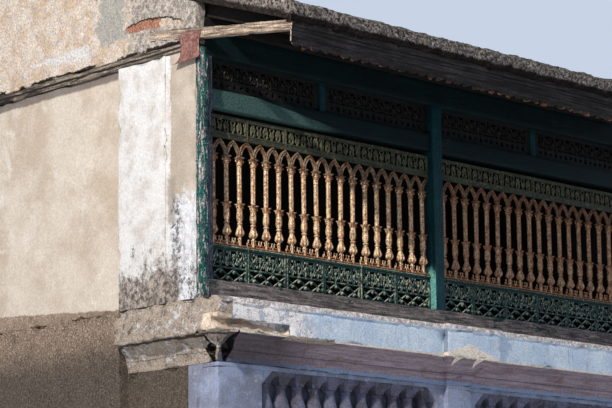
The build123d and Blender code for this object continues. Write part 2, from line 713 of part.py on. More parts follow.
# House wall behind, split beside and over its doorway
BACK_Y = HOUSE_DEPTH - WALL_T
BACK_HALF = BASE_HALF - BASE_SIDE_T
BACK_INNER_HALF = WALL_HALF - WALL_T
BACK_TOP = roof_underside(BACK_Y) - RAFTER_VERTICAL
Z_DOOR_HEAD = Z_SILL + DOOR_H
BACK_PIECES = (
    ("left", -BACK_INNER_HALF, DOOR_X - DOOR_W / 2, Z_SILL, BACK_TOP),
    ("right", DOOR_X + DOOR_W / 2, BACK_INNER_HALF, Z_SILL, BACK_TOP),
    ("over_door", DOOR_X - DOOR_W / 2, DOOR_X + DOOR_W / 2, Z_DOOR_HEAD, BACK_TOP),
    ("base", -BACK_HALF, BACK_HALF, 0, Z_SILL),
)
for name, x0, x1, z0, z1 in BACK_PIECES:
    with BuildPart() as back_wall:
        with BuildSketch(Plane.XY.offset(z0)):
            with Locations(((x0 + x1) / 2, BACK_Y + WALL_T / 2)):
                Rectangle(x1 - x0, WALL_T)
        extrude(amount=z1 - z0)
    back_wall.part.label = f"back_wall_{name}"
    export_step(back_wall.part, f"parts/back_wall_{name}.step")

# Rafters, roof slab and eave boards
RAFTER_SPREAD = 2 * FRAME_HALF - 2 * RAFTER_W
with BuildPart() as rafters:
    with GridLocations(RAFTER_SPREAD / (RAFTER_COUNT - 1), 1, RAFTER_COUNT, 1) as rafter_places:
        rafter_x = [place.position.X for place in rafter_places.locations]
    for x in rafter_x:
        with BuildSketch(Plane.YZ.offset(x)):
            with BuildLine():
                Polyline(
                    (-EAVE_Y, roof_underside(-EAVE_Y) - RAFTER_VERTICAL),
                    (-EAVE_Y, roof_underside(-EAVE_Y)),
                    (HOUSE_DEPTH, roof_underside(HOUSE_DEPTH)),
                    (HOUSE_DEPTH, roof_underside(HOUSE_DEPTH) - RAFTER_VERTICAL),
                    close=True,
                )
            make_face()
        extrude(amount=RAFTER_W / 2, both=True)
rafters.part.label = "rafters"
export_step(rafters.part, "parts/rafters.step")

ROOF_FRONT = EAVE_Y + EAVE_BOARD_T + EAVE_LIP
with BuildPart() as roof_slab:
    with BuildSketch(Plane.YZ):
        with BuildLine():
            Polyline(
                (-ROOF_FRONT, roof_underside(-ROOF_FRONT)),
                (-ROOF_FRONT, roof_underside(-ROOF_FRONT) + ROOF_VERTICAL),
                (HOUSE_DEPTH, roof_underside(HOUSE_DEPTH) + ROOF_VERTICAL),
                (HOUSE_DEPTH, roof_underside(HOUSE_DEPTH)),
                close=True,
            )
        make_face()
    extrude(amount=WALL_HALF + VERGE_PROUD, both=True)
roof_slab.part.label = "roof_slab"
export_step(roof_slab.part, "parts/roof_slab.step")

# Eave boards: three lapped boards, the lowest with a scalloped edge
EAVE_BOARD_TOP = roof_underside(-EAVE_Y - EAVE_BOARD_T)
EAVE_BOARD_FOOT = EAVE_BOARD_TOP - EAVE_BOARD_H
EAVE_LAP_1 = EAVE_BOARD_TOP - 0.22 * EAVE_BOARD_H
EAVE_LAP_2 = EAVE_BOARD_TOP - 0.55 * EAVE_BOARD_H
SCALLOPS = int(2 * WALL_HALF // SCALLOP_PITCH)
EAVE_FACE = -EAVE_Y - EAVE_BOARD_T
with BuildPart() as eave_boards:
    with BuildSketch(Plane.YZ):
        with BuildLine():
            Polyline(
                (-EAVE_Y, EAVE_BOARD_FOOT),
                (-EAVE_Y, EAVE_BOARD_TOP),
                (EAVE_FACE, EAVE_BOARD_TOP),
                (EAVE_FACE, EAVE_LAP_1),
                (EAVE_FACE + EAVE_LAP_STEP, EAVE_LAP_1),
                (EAVE_FACE + EAVE_LAP_STEP, EAVE_LAP_2),
                (EAVE_FACE + 2 * EAVE_LAP_STEP, EAVE_LAP_2),
                (EAVE_FACE + 2 * EAVE_LAP_STEP, EAVE_BOARD_FOOT),
                close=True,
            )
        make_face()
    extrude(amount=WALL_HALF, both=True)
    with BuildSketch(Plane.XZ.offset(EAVE_Y)):
        with Locations((0, EAVE_BOARD_FOOT)):
            with GridLocations(SCALLOP_PITCH, 1, SCALLOPS, 1):
                RegularPolygon(SCALLOP_D, 4)
    extrude(amount=EAVE_BOARD_T, mode=Mode.SUBTRACT)
eave_boards.part.label = "eave_boards"
export_step(eave_boards.part, "parts/eave_boards.step")

# Bent metal sheet nailed to the left outrigger, its lower edge curled outward
SHEET_Z0 = Z_GABLE + SHEET_TOP
SHEET_X = -WALL_HALF - SHEET_T / 2
with BuildPart() as corner_sheet:
    with BuildSketch(Plane.XZ.offset(SHEET_OVERHANG)):
        with BuildLine():
            hang = Line((SHEET_X, SHEET_Z0), (SHEET_X, SHEET_Z0 - SHEET_DROP))
            curl_end = (SHEET_X - SHEET_CURL_R, SHEET_Z0 - SHEET_DROP - SHEET_CURL_R)
            TangentArc(hang @ 1, curl_end, tangent=hang % 1)
        trace(line_width=SHEET_T)
    extrude(amount=-SHEET_W)
corner_sheet.part.label = "corner_sheet"
export_step(corner_sheet.part, "parts/corner_sheet.step")
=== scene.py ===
import json
import random
from math import atan2, copysign, cos, pi, radians, sin

import bmesh
import bpy
from mathutils import Matrix, Vector, noise


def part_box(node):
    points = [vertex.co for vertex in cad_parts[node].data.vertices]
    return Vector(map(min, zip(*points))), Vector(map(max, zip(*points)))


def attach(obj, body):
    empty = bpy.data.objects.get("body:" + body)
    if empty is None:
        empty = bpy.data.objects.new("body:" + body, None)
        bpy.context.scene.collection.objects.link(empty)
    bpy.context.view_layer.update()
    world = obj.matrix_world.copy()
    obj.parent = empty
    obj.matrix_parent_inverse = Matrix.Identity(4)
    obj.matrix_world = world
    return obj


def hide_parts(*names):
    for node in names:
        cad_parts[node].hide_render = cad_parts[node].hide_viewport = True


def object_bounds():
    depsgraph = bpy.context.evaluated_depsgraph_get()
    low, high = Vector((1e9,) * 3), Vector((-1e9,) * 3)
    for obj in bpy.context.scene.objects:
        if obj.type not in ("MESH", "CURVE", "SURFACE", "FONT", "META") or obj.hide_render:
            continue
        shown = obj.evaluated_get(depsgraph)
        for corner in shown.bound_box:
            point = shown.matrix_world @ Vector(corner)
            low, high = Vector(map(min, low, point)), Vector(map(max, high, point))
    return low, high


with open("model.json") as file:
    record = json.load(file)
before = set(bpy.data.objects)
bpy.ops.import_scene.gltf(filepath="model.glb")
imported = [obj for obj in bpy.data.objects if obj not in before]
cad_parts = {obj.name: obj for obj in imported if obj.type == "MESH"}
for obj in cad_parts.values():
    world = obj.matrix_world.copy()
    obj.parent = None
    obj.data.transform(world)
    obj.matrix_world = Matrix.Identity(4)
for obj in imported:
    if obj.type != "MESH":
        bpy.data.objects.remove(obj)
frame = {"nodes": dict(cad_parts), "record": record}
cad_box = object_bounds()
chance = random.Random(7)


def at(x, y, z):
    return Matrix.Translation((x, y, z))


def placed(name, data):
    """A new object of the scene."""
    made = bpy.data.objects.new(name, data)
    bpy.context.scene.collection.objects.link(made)
    return made


# camera
# It looks up from the street at the left corner of the gallery, through a long lens.
YAW, PITCH, ROLL = 0.768987, 0.192516, -0.012075
ahead = Vector((sin(YAW) * cos(PITCH), cos(YAW) * cos(PITCH), sin(PITCH)))
level_right = Vector((cos(YAW), -sin(YAW), 0))
level_up = level_right.cross(ahead)
right = level_right * cos(ROLL) + level_up * sin(ROLL)
up = level_up * cos(ROLL) - level_right * sin(ROLL)
camera_data = bpy.data.cameras.new("street_camera")
camera_data.sensor_width = 36.0
camera_data.lens = 141.18
camera_data.clip_end = 200.0
camera = placed("street_camera", camera_data)
camera.matrix_world = at(-16.1057, -14.87, -1.9098) @ Matrix((right, up, -ahead)).transposed().to_4x4()
bpy.context.scene.camera = camera
bpy.context.scene.view_settings.view_transform = "Standard"

UP, DOWN = 1, -1

# finishes
# Sizes, heights and places are in metres on the object's own coordinates, which are the shared frame's.
ROOF_SLOPE = radians(19)
palette = {}


class Signal:
    """A number or colour that varies over a finish. Signals add, subtract and multiply as numbers do."""

    def __init__(self, finish, socket):
        self.finish = finish
        self.socket = socket

    def __add__(self, other):
        return self.finish.maths("ADD", self, other)

    def __sub__(self, other):
        return self.finish.maths("SUBTRACT", self, other)

    def __mul__(self, other):
        return self.finish.maths("MULTIPLY", self, other)

    def __or__(self, other):
        """The larger of the two."""
        return self.finish.maths("MAXIMUM", self, other)

    def __abs__(self):
        return self.finish.maths("ABSOLUTE", self, 0.0)

    def band(self, low, high, start=0.0, end=1.0):
        """Goes smoothly from start to end while the signal goes from low to high. Low may be the larger."""
        reach = {"Value": self, "From Min": low, "From Max": high, "To Min": start, "To Max": end}
        return self.finish.node("ShaderNodeMapRange", {"interpolation_type": "SMOOTHSTEP"}, reach)

    def between(self, low, high, soft=0.004):
        return self.band(low - soft, low + soft) * self.band(high + soft, high - soft)

    def ragged(self, size, reach):
        """The same coordinate made uneven, for a border that isn't a ruled line."""
        return self + (self.finish.cloud(size, 8, 0.7, shift=2.5) - 0.5) * reach


class Finish:
    """A procedural finish of the palette. Grit says how strongly fine grain darkens and lightens it."""

    def __init__(self, name, grit, rough, sheen, metal=0.0):
        palette[name] = bpy.data.materials.new(name)
        palette[name].use_nodes = True
        self.grit = grit
        self.tree = palette[name].node_tree
        self.wire({"Roughness": rough, "Metallic": metal, "Specular IOR Level": sheen})
        self.place = self.node("ShaderNodeTexCoord", output="Object")
        self.x, self.y, self.z = self.parts(self.place)
        self.face_x, _, self.face_z = self.parts(self.node("ShaderNodeNewGeometry", output="Normal"))

    def wire(self, inputs, node=None):
        """Sets or links inputs, by name or by number, of the surface itself unless a node is given."""
        for key, value in inputs.items():
            socket = (node or self.tree.nodes["Principled BSDF"]).inputs[key]
            if isinstance(value, Signal):
                self.tree.links.new(value.socket, socket)
            else:
                socket.default_value = (*value, 1) if socket.type == "RGBA" else value

    def node(self, kind, settings=None, inputs=None, output=0):
        """Adds a node and gives one of its outputs."""
        made = self.tree.nodes.new(kind)
        for key, value in (settings or {}).items():
            setattr(made, key, value)
        self.wire(inputs or {}, made)
        return Signal(self, made.outputs[output])

    def parts(self, vector):
        return [self.node("ShaderNodeSeparateXYZ", inputs={"Vector": vector}, output=axis) for axis in "XYZ"]

    def maths(self, how, first, second):
        return self.node("ShaderNodeMath", {"operation": how}, {0: first, 1: second})

    def mix(self, share, first, second, how="MIX"):
        """The first colour, and the second laid over it where the share is high."""
        kinds = {"data_type": "RGBA", "blend_type": how}
        return self.node("ShaderNodeMix", kinds, {0: share, 6: first, 7: second}, 2)

    def mapped(self, size, stretch=(1, 1, 1), shift=0.0):
        scale = tuple(1 / (size * part) for part in stretch)
        inputs = {"Vector": self.place, "Scale": scale, "Location": (shift,) * 3}
        return self.node("ShaderNodeMapping", {}, inputs)

    def cloud(self, size, detail=5.0, rough=0.6, stretch=(1, 1, 1), warp=0.0, shift=0.0):
        form = {"Scale": 1.0, "Detail": detail, "Roughness": rough, "Distortion": warp}
        return self.node("ShaderNodeTexNoise", {}, {"Vector": self.mapped(size, stretch, shift), **form})

    def cells(self, size):
        return self.node("ShaderNodeTexVoronoi", {}, {"Vector": self.mapped(size), "Scale": 1.0})

    def rubble(self, dark, pale, size=0.022):
        """Tone and height of broken mortar: pale grit, dark pits and a slow change of tone."""
        grit = self.cloud(size * 0.6, 9, 0.85)
        lump = self.cloud(size * 6, 9, 0.78, shift=1.5)
        tone = self.mix((grit * 0.6 + lump * 0.4).band(0.38, 0.6), dark, pale)
        tone = self.mix(lump.band(0.5, 0.64, 0, 0.6), tone, shade(dark, 1.2))
        return tone, grit * 0.7 + lump * 2.0

    def coarse_render(self):
        """Tone and height of coarse grey-brown render with pale grit."""
        tone, height = self.rubble((0.13, 0.095, 0.072), (0.5, 0.385, 0.3), 0.028)
        return self.mix(self.cells(0.024).band(0.3, 0.16), tone, (0.66, 0.53, 0.43)), height

    def done(self, colour, height, depth, rough=None):
        """Adds the fine grain and the relief, and wires up the surface."""
        speckle = self.cloud(0.017, 6, 0.85, shift=5.5).band(0.37, 0.63, 1 - self.grit, 1 + 0.8 * self.grit)
        relief = self.node("ShaderNodeBump", {}, {"Height": height, "Distance": depth, "Strength": 1.0})
        self.wire({"Base Color": self.mix(1.0, colour, speckle, "MULTIPLY"), "Normal": relief})
        if rough:
            self.wire({"Roughness": rough})


def shade(colour, share):
    return tuple(part * share for part in colour)


def cast_iron(name, *, paint, worn, rust, bare, painted_shade_rust, turning=(0.05, 0.9), speck=0.6,
              dirt_and_painted_shade=(0.03, 0.02, 0.015), grit=0.6, shade_above=None, shade_beyond=None):
    """Old paint on cast iron, worn and rusty at random, with painted light and shade: paler worn paint on the
    side towards the lamp and on top, rust and dirt on the side away from it and below.
    """
    coat = Finish(name, grit, 0.6, 0.35)
    mix, cloud = coat.mix, coat.cloud
    wear = cloud(0.03, 9, 0.75)
    tone = mix(cloud(0.3).band(0.35, 0.65), paint, shade(paint, 0.6))
    # paler worn paint on faces towards the lamp and on top: painted light, over random wear
    wear_and_painted_light = wear + coat.face_x.band(0.4, -0.9, 0.0, 0.14) + coat.face_z.band(-0.1, 0.9, 0.0, 0.14)
    colour = mix(wear_and_painted_light.band(bare, bare + 0.08), tone, worn)
    # rust on faces turned away from the lamp and down: painted shade
    away = coat.face_x.band(*turning, 0, 0.8) + coat.face_z.band(-0.1, -0.8, 0, 0.7)
    away = away * cloud(0.02, 6, shift=3.0).band(0.32, 0.55, 0.35, 1.0)
    colour = mix(away * painted_shade_rust, colour, rust)
    # dark dirt colour on faces turned right, away from the lamp: painted shade
    colour = mix(coat.face_x.band(turning[1], turning[1] + 0.5, 0, 0.75), colour, dirt_and_painted_shade)
    colour = mix(cloud(0.028, 9, 0.8, shift=4.0).band(speck, speck + 0.05), colour, rust)
    if shade_above is not None:
        # darker rust and worn paint high up, on the arches: painted shade
        painted_shade_high = coat.z.ragged(0.05, 0.05).band(shade_above - 0.01, shade_above + 0.03)
        colour = mix(painted_shade_high * 0.85, colour, mix(wear.band(0.42, 0.6), shade(rust, 0.45), shade(worn, 0.34)))
    if shade_beyond is not None:
        # darker rust on the second bay, right of the middle: painted shade
        painted_shade_beyond = coat.x.ragged(0.3, 0.4).band(shade_beyond - 0.1, shade_beyond + 0.3, 0, 0.42)
        colour = mix(painted_shade_beyond, colour, shade(rust, 0.9))
    fine = cloud(0.007, 4)
    colour = mix(fine.band(0.62, 0.72), colour, dirt_and_painted_shade)
    coat.done(colour, wear * 0.6 + fine, 0.003, wear.band(0.3, 0.7, 0.5, 0.8))


def timber(name, wood, dark, grain, *, paint=None, cover=0.5, pale=None, gloss=0.8, painted_sunlight=None, painted_sun_patch=None,
           flake=0.09, ends=None, streak=None, shaded_gap=None, lean=0.0, grit=0.5):
    """Sawn timber with long grain and checks, and paint that has partly gone."""
    board = Finish(name, grit, gloss, 0.25)
    mix, cloud = board.mix, board.cloud
    if lean:
        turning = {"Vector": board.place, "Angle": lean}
        board.place = board.node("ShaderNodeVectorRotate", {"rotation_type": "X_AXIS"}, turning)

    def long(times):
        return tuple(times if axis == grain else 1 for axis in "xyz")

    fibre = cloud(0.018, 8, 0.7, long(14), warp=0.3)
    split = cloud(0.03, 4, 0.5, long(30.8), shift=9.0).band(0.64, 0.68)
    colour = mix(fibre.band(0.35, 0.66), dark, wood)
    weathered = mix(fibre.band(0.35, 0.7), dark, pale or wood)
    colour = mix(cloud(0.4, 4).band(0.42, 0.66), colour, weathered)
    colour = mix(split, colour, (0.008, 0.007, 0.006))
    height = fibre - split * 0.6
    if paint:
        coat = mix(cloud(0.25, 6).band(0.35, 0.7), paint, shade(paint, 0.5))
        coat = mix(cloud(0.03, 8, stretch=long(14)).band(0.5, 0.75), coat, shade(paint, 1.6))
        # where asked, the left faces below about 1.7 m get paler paint: painted sunlight
        if painted_sunlight:
            painted_sunlit_foot = board.face_x.band(-0.5, -0.8) * board.z.ragged(0.2, 0.3).band(1.75, 1.68)
            coat = mix(painted_sunlit_foot, coat, painted_sunlight)
        # where asked, the left end of the transom below a slanting edge gets paler paint: painted sunlight
        if painted_sun_patch:
            slant = board.z.ragged(0.2, 0.03) + board.x * 0.14
            coat = mix(slant.band(2.69, 2.68) * board.x.band(-1.2, -1.6), coat, painted_sun_patch)
        kept = cloud(flake, 9, 0.75, long(3.5), shift=2.0).band(cover, cover + 0.03)
        colour = mix(kept, colour, coat)
        height = height + kept * 0.5
    if ends:
        colour = mix(board.face_x.band(-0.6, -0.85), colour, ends)
    if streak:
        line = board.x.ragged(0.15, 0.03).between(*streak)
        colour = mix(line * fibre.band(0.35, 0.5), colour, (0.8, 0.74, 0.74))
    # where asked, a near-black band between two layers of the timber: painted shade
    if shaded_gap:
        line = board.z.ragged(0.25, 0.035).between(*shaded_gap)
        colour = mix(line, colour, (0.02, 0.015, 0.012))
        height = height - line
    board.done(colour, height, 0.003)


def masonry(name, first, second, stain, size, patch=None, grit=0.2):
    """Limewash or plaster: two tones in clouds, rain stains, patches, and a gritty face."""
    wall = Finish(name, grit, 0.92, 0.2)
    mix, cloud = wall.mix, wall.cloud
    tone = mix(cloud(size, 7, 0.65).band(0.38, 0.62), first, second)
    tone = mix(cloud(0.09, 7, 0.7, (1, 1, 5)).band(0.55, 0.72, 0, 0.8), tone, stain)
    if patch:
        tone = mix(cloud(0.1, 9, 0.74, shift=6.0).band(0.6, 0.62), tone, patch)
    grain = cloud(0.006, 3)
    tone = mix(grain.band(0.35, 0.8, 0, 0.35), tone, shade(first, 0.5))
    wall.done(tone, cloud(0.05, 8, 0.7) + grain * 0.5, 0.003)


def cornice_limewash():
    """White flaking fillet, pale blue fascia with a bright arris, mauve cove, and a broken left return."""
    wash = Finish("limewash_cornice", 0.26, 0.9, 0.2)
    mix, cloud, x, y, z = wash.mix, wash.cloud, wash.x, wash.y, wash.z
    blue = mix(cloud(0.3, 8, 0.7).band(0.38, 0.62), (0.72, 0.84, 0.96), (0.58, 0.7, 0.87))
    blue = mix(cloud(0.07, 8, 0.7, (1, 1, 4)).band(0.55, 0.7, 0, 0.7), blue, (0.34, 0.39, 0.5))
    blue = mix(cloud(0.09, 9, 0.76, shift=3.0).band(0.6, 0.615), blue, (0.8, 0.78, 0.76))
    blue = mix(cloud(0.06, 9, 0.76, shift=5.0).band(0.645, 0.655), blue, (0.3, 0.2, 0.14))
    old = cloud(0.11, 9, 0.75, shift=11.0)
    flaked = mix(old.band(0.44, 0.5), (0.5, 0.5, 0.58), (0.94, 0.92, 0.92))
    flaked = mix(cloud(0.06, 9, 0.8, shift=13.0).band(0.6, 0.63), flaked, (0.42, 0.2, 0.12))
    near_corner = x.ragged(0.15, 0.5).band(-1.9, -2.15)
    blue = mix(near_corner * old.band(0.36, 0.42), blue, flaked)
    # the faces of the return that look left are darker blue: painted shade
    painted_shade_returns = wash.face_x.band(-0.4, -0.8) * x.band(-2.85, -2.8)
    blue = mix(painted_shade_returns, blue, (0.27, 0.33, 0.42))
    cream = mix(cloud(0.045, 9, 0.78).band(0.42, 0.56), (0.96, 0.93, 0.92), (0.48, 0.42, 0.41))
    cream = mix(cloud(0.05, 9, 0.78, shift=7.0).band(0.62, 0.64), cream, (0.4, 0.13, 0.06))
    # the cove has brush strokes along it, a dark line, a blue foot, and less light towards the corner
    stroke = cloud(0.022, 8, 0.7, (16, 16, 1), warp=0.4)
    cove = mix(stroke.band(0.35, 0.68), (0.24, 0.19, 0.225), (0.44, 0.36, 0.42))
    cove = mix(cloud(0.16, 7).band(0.52, 0.72, 0, 0.7), cove, (0.2, 0.115, 0.075))
    cove = mix(z.ragged(0.3, 0.012).between(0.722, 0.731, 0.003) * 0.7, cove, (0.09, 0.06, 0.055))
    cove = mix(z.ragged(0.2, 0.03).band(0.668, 0.655), cove, (0.26, 0.33, 0.5))
    cove = mix(x.ragged(0.3, 0.3).band(-1.6, -2.4, 0, 0.75), cove, (0.045, 0.036, 0.048))
    colour = mix(z.band(0.85, 0.868), cove, blue)
    colour = mix(z.ragged(0.1, 0.012).between(0.856, 0.872), colour, (0.86, 0.76, 0.66))
    colour = mix(z.ragged(0.05, 0.05).band(1.096, 1.104), colour, cream)
    # tan core where the return, the wedge behind the fascia and the hem under it have lost their face
    gone = x.ragged(0.07, 0.09).band(-2.905, -2.925) | (y - x).ragged(0.07, 0.06).band(2.74, 2.77)
    gone = gone * z.band(0.6, 0.62)
    falling = z.ragged(0.06, 0.03) + x * 0.12
    wedge = x.band(-2.2, -2.25) * y.band(-0.35, -0.342) * z.band(0.864, 0.872) * falling.band(0.645, 0.637)
    wedge = wedge * y.ragged(0.06, 0.1).band(-0.13, -0.17)
    hem = x.ragged(0.05, 0.1).between(-2.3, -1.72) * z.ragged(0.05, 0.07).band(0.878, 0.868)
    broken = gone | wedge | hem * z.band(0.83, 0.84)
    tan, coarse = wash.rubble((0.09, 0.068, 0.055), (0.74, 0.63, 0.53))
    mixed = cloud(0.1, 9, 0.76, shift=17.0)
    tan = mix(mixed.band(0.56, 0.6), tan, (0.7, 0.7, 0.76))
    tan = mix(mixed.band(0.42, 0.38), tan, (0.13, 0.105, 0.09))
    # the broken ledge of the wedge is painted much paler: painted light, where the fascia shades it
    tan = mix(wedge, tan, mix(coarse.band(1.2, 1.6), (0.66, 0.5, 0.38), (1.0, 0.88, 0.75)))
    # cream core at the pilaster break under the middle post: a low tent, and two teeth that hang from it
    away = abs(x + 0.05)
    tent = z.ragged(0.05, 0.05) + away * 0.3
    scar = tent.band(0.985, 0.975) * z.ragged(0.04, 0.03).band(0.848, 0.853)
    tooth = z - abs(away - 0.14) * 1.4
    teeth = tooth.ragged(0.03, 0.02).band(0.785, 0.79) * z.band(0.862, 0.858)
    core = mix(cloud(0.03, 8, 0.8).band(0.4, 0.6), (1.0, 0.93, 0.82), (0.88, 0.75, 0.63))
    colour = mix(broken, mix(scar | teeth, colour, core), tan)
    # Two dark lines on the broken face: cracks; the upper one, just under the fascia, is also painted shadow.
    split = z.ragged(0.2, 0.06)
    crack = split.between(0.832, 0.846) | split.between(0.716, 0.721)
    colour = mix(crack * gone * 0.9, colour, (0.03, 0.022, 0.018))
    # two near-black pits beside the corner
    rise = abs(z - 0.738) * 0.5
    for along, middle, outward, limit in ((x, 2.838, y, -0.04), (y, 0.096, x, -2.78)):
        pit = (abs(along.ragged(0.03, 0.02) + middle) + rise).band(0.075, 0.068)
        colour = mix(pit * outward.band(limit, limit - 0.01), colour, (0.01, 0.008, 0.008))
    wash.done(colour, cloud(0.05, 8, 0.72) + stroke * 0.4 + broken * coarse * 1.6, 0.007)


def side_plaster():
    """Grey-beige strip next to the jamb, white pilaster with a dirty foot, warm beige panel with a painted
    shadow under the plate, and painted shade inside.
    """
    wall = Finish("pier_plaster", 0.16, 0.92, 0.2)
    mix, cloud, x, y, z = wall.mix, wall.cloud, wall.x, wall.y, wall.z
    soft = cloud(0.45, 7, 0.62)
    fine = cloud(0.05, 8, 0.75, shift=3.0)
    strip = mix(soft.band(0.4, 0.6), (0.47, 0.4, 0.33), (0.6, 0.53, 0.465))
    milky = mix(cloud(0.06, 8, 0.75).band(0.42, 0.6), (0.8, 0.82, 0.87), (0.6, 0.61, 0.65))
    strip = mix(z.ragged(0.12, 0.8).band(2.12, 2.04), strip, milky)
    drip = cloud(0.07, 8, 0.7, (1, 1, 6), shift=8.0).band(0.54, 0.68, 0, 0.6)
    strip = mix(drip, strip, (0.33, 0.29, 0.26))
    white = mix(cloud(0.2, 8, 0.7).band(0.42, 0.66), (0.76, 0.76, 0.77), (0.6, 0.56, 0.53))
    beige = mix(soft.band(0.36, 0.62), (0.55, 0.46, 0.375), (0.68, 0.61, 0.53))
    cloudy = cloud(0.35, 9, 0.7, warp=0.8, shift=21.0)
    beige = mix(cloudy.band(0.54, 0.68, 0, 0.6), beige, (0.8, 0.76, 0.72))
    beige = mix(fine.band(0.55, 0.7, 0, 0.35), beige, (0.5, 0.39, 0.3))
    # the rough band at the foot rises a little towards the back
    foot_band = (z.ragged(0.1, 0.06) - y * 0.075).band(1.11, 1.1)
    coarse, grit = wall.coarse_render()
    beige = mix(foot_band, beige, coarse)
    # a dark band across the top of the panel, under the side plate: painted shadow
    painted_shadow_under_plate = z.ragged(0.2, 0.05).band(3.225, 3.25) * abs(wall.face_x).band(0.4, 0.6)
    beige = mix(painted_shadow_under_plate * 0.75, beige, (0.1, 0.085, 0.085))
    colour = mix(y.ragged(0.12, 0.12).band(0.325, 0.335), strip, white)
    colour = mix(y.band(0.998, 1.002), colour, beige)
    # dirt that climbs the pilaster, a stain, and mould beside the jamb
    near = y.band(1.0, 0.99)
    climbing = z.band(1.95, 1.16, 0.0, 0.4) + cloud(0.13, 9, 0.74, (1, 1, 1.6))
    dirty = mix(fine.band(0.4, 0.6), (0.22, 0.18, 0.16), (0.5, 0.43, 0.38))
    colour = mix(climbing.band(0.72, 0.84) * near * y.ragged(0.1, 0.1).band(0.2, 0.26), colour, dirty)
    stain = y.ragged(0.1, 0.12).between(0.27, 0.37, 0.02) * z.ragged(0.15, 0.2).between(1.84, 2.26, 0.03)
    colour = mix(stain * 0.8, colour, (0.36, 0.31, 0.27))
    darker_low = y.ragged(0.2, 0.4).between(0.17, 0.32, 0.035) * z.ragged(0.2, 0.3).band(2.12, 2.0)
    mould = cloud(0.055, 10, 0.85).band(0.47, 0.56) * (climbing.band(0.6, 0.82) * near | darker_low)
    colour = mix(mould * 0.9, colour, (0.07, 0.068, 0.07))
    # near black on the faces inside the room: painted shade
    painted_shade_indoors = abs(x).band(2.93, 2.9) * y.band(2.75, 2.7) * y.band(0.02, 0.04)
    colour = mix(painted_shade_indoors, colour, (0.03, 0.027, 0.027))
    wall.done(colour, cloud(0.07, 8, 0.7) + fine * 0.5 + foot_band * grit, 0.006)


def gable_plaster():
    """Rough lime over brick, with painted shade in its hollows, a grey and a white patch, a torn grey end at
    the eaves, and painted shade inside.
    """
    wall = Finish("gable_plaster", 0.38, 0.95, 0.15)
    mix, cloud, x, y, z = wall.mix, wall.cloud, wall.x, wall.y, wall.z
    tone = mix(cloud(0.2, 9, 0.72).band(0.4, 0.58), (0.78, 0.6, 0.45), (0.94, 0.83, 0.73))
    tone = mix(cloud(0.06, 9, 0.78, shift=31.0).band(0.54, 0.6), tone, (0.62, 0.63, 0.68))
    torn_end = mix(cloud(0.05, 9, 0.8).band(0.4, 0.6), (0.3, 0.26, 0.235), (0.8, 0.73, 0.66))
    tone = mix(y.ragged(0.15, 0.3).band(0.95, 0.8), tone, torn_end)
    flat = y.ragged(0.25, 0.7).between(0.93, 1.36, 0.01) * z.ragged(0.2, 0.25).band(3.56, 3.58)
    tone = mix(flat, tone, (0.55, 0.53, 0.49))
    lime = y.ragged(0.15, 0.4).between(1.42, 2.5, 0.01) * (z.ragged(0.12, 0.12) - y * 0.1).band(3.345, 3.355)
    lime = lime * (z.ragged(0.1, 0.08) + y * 0.06).band(3.735, 3.725)
    tone = mix(lime, tone, (0.92, 0.9, 0.9))
    hollow = cloud(0.09, 9, 0.78, warp=1.2)
    # darker brown where the hollows sink: painted shade
    tone = mix(hollow.band(0.4, 0.34, 0, 0.9), tone, (0.2, 0.15, 0.125))
    tone = mix(cloud(0.025, 8, 0.8).band(0.6, 0.68, 0, 0.7), tone, (0.26, 0.21, 0.18))
    # a strip of bare brick under a painted shadow along its upper edge, on the left gable only, and paler
    # towards the eaves
    brick = mix(cloud(0.02, 6).band(0.4, 0.6), (0.4, 0.15, 0.09), (0.62, 0.36, 0.26))
    pale = mix(hollow.band(0.45, 0.6), (0.86, 0.74, 0.62), (0.5, 0.33, 0.24))
    base = (z - y * 0.095).ragged(0.09, 0.09)
    across = (y - 0.55) * 2.6
    arch = base + across * across * 0.055
    ends = y.ragged(0.1, 0.2).between(0.17, 0.93, 0.03) * x.band(0.1, -0.1)
    bare = mix(y.ragged(0.08, 0.2).band(0.5, 0.44), brick, pale)
    tone = mix(base.band(3.541, 3.547) * arch.band(3.645, 3.637) * ends, tone, bare)
    tone = mix(arch.between(3.628, 3.645) * ends * hollow.band(0.66, 0.56), tone, (0.05, 0.035, 0.03))
    crack = z.ragged(0.08, 0.07).band(3.432, 3.424) * cloud(0.3, 6, shift=9.0).band(0.42, 0.48)
    tone = mix(crack, tone, (0.035, 0.025, 0.02))
    # near black on the faces inside the room: painted shade
    tone = mix(abs(x).band(2.93, 2.91) * y.band(0.0, 0.02), tone, (0.035, 0.03, 0.028))
    wall.done(tone, cloud(0.05, 9, 0.78) + hollow * 1.5, 0.02)


def roof_crust():
    """Coarse lime crust, pale on its ridges, near black under its lip and along its lower edge: painted
    shade.
    """
    crust = Finish("roof_crust", 0.7, 0.97, 0.1)
    mix, cloud = crust.mix, crust.cloud
    grit = cloud(0.03, 9, 0.82)
    lump = cloud(0.13, 8, 0.75, shift=4.0)
    tone = mix(grit.band(0.43, 0.57), (0.03, 0.025, 0.024), (0.52, 0.46, 0.42))
    tone = mix(lump.band(0.46, 0.62, 0, 0.75), tone, (0.13, 0.11, 0.105))
    # near black on faces turned down: painted shade
    tone = mix(crust.face_z.band(-0.35, -0.65), tone, (0.022, 0.016, 0.014))
    through = crust.z * cos(ROOF_SLOPE) - crust.y * sin(ROOF_SLOPE)
    # near black on the lower part of the crust's edge: painted shade
    tone = mix(through.ragged(0.06, 0.06).band(3.586, 3.566) * 0.9, tone, (0.02, 0.014, 0.013))
    crust.done(tone, grit + lump, 0.03)


def rough_render():
    """Coarse render, darker towards the bottom."""
    wall = Finish("rough_render", 0.6, 0.96, 0.1)
    tone, height = wall.coarse_render()
    darker_low = wall.z.ragged(0.3, 0.25).band(1.05, 0.65, 0, 0.75)
    wall.done(wall.mix(darker_low, tone, (0.075, 0.068, 0.062)), height, 0.018)


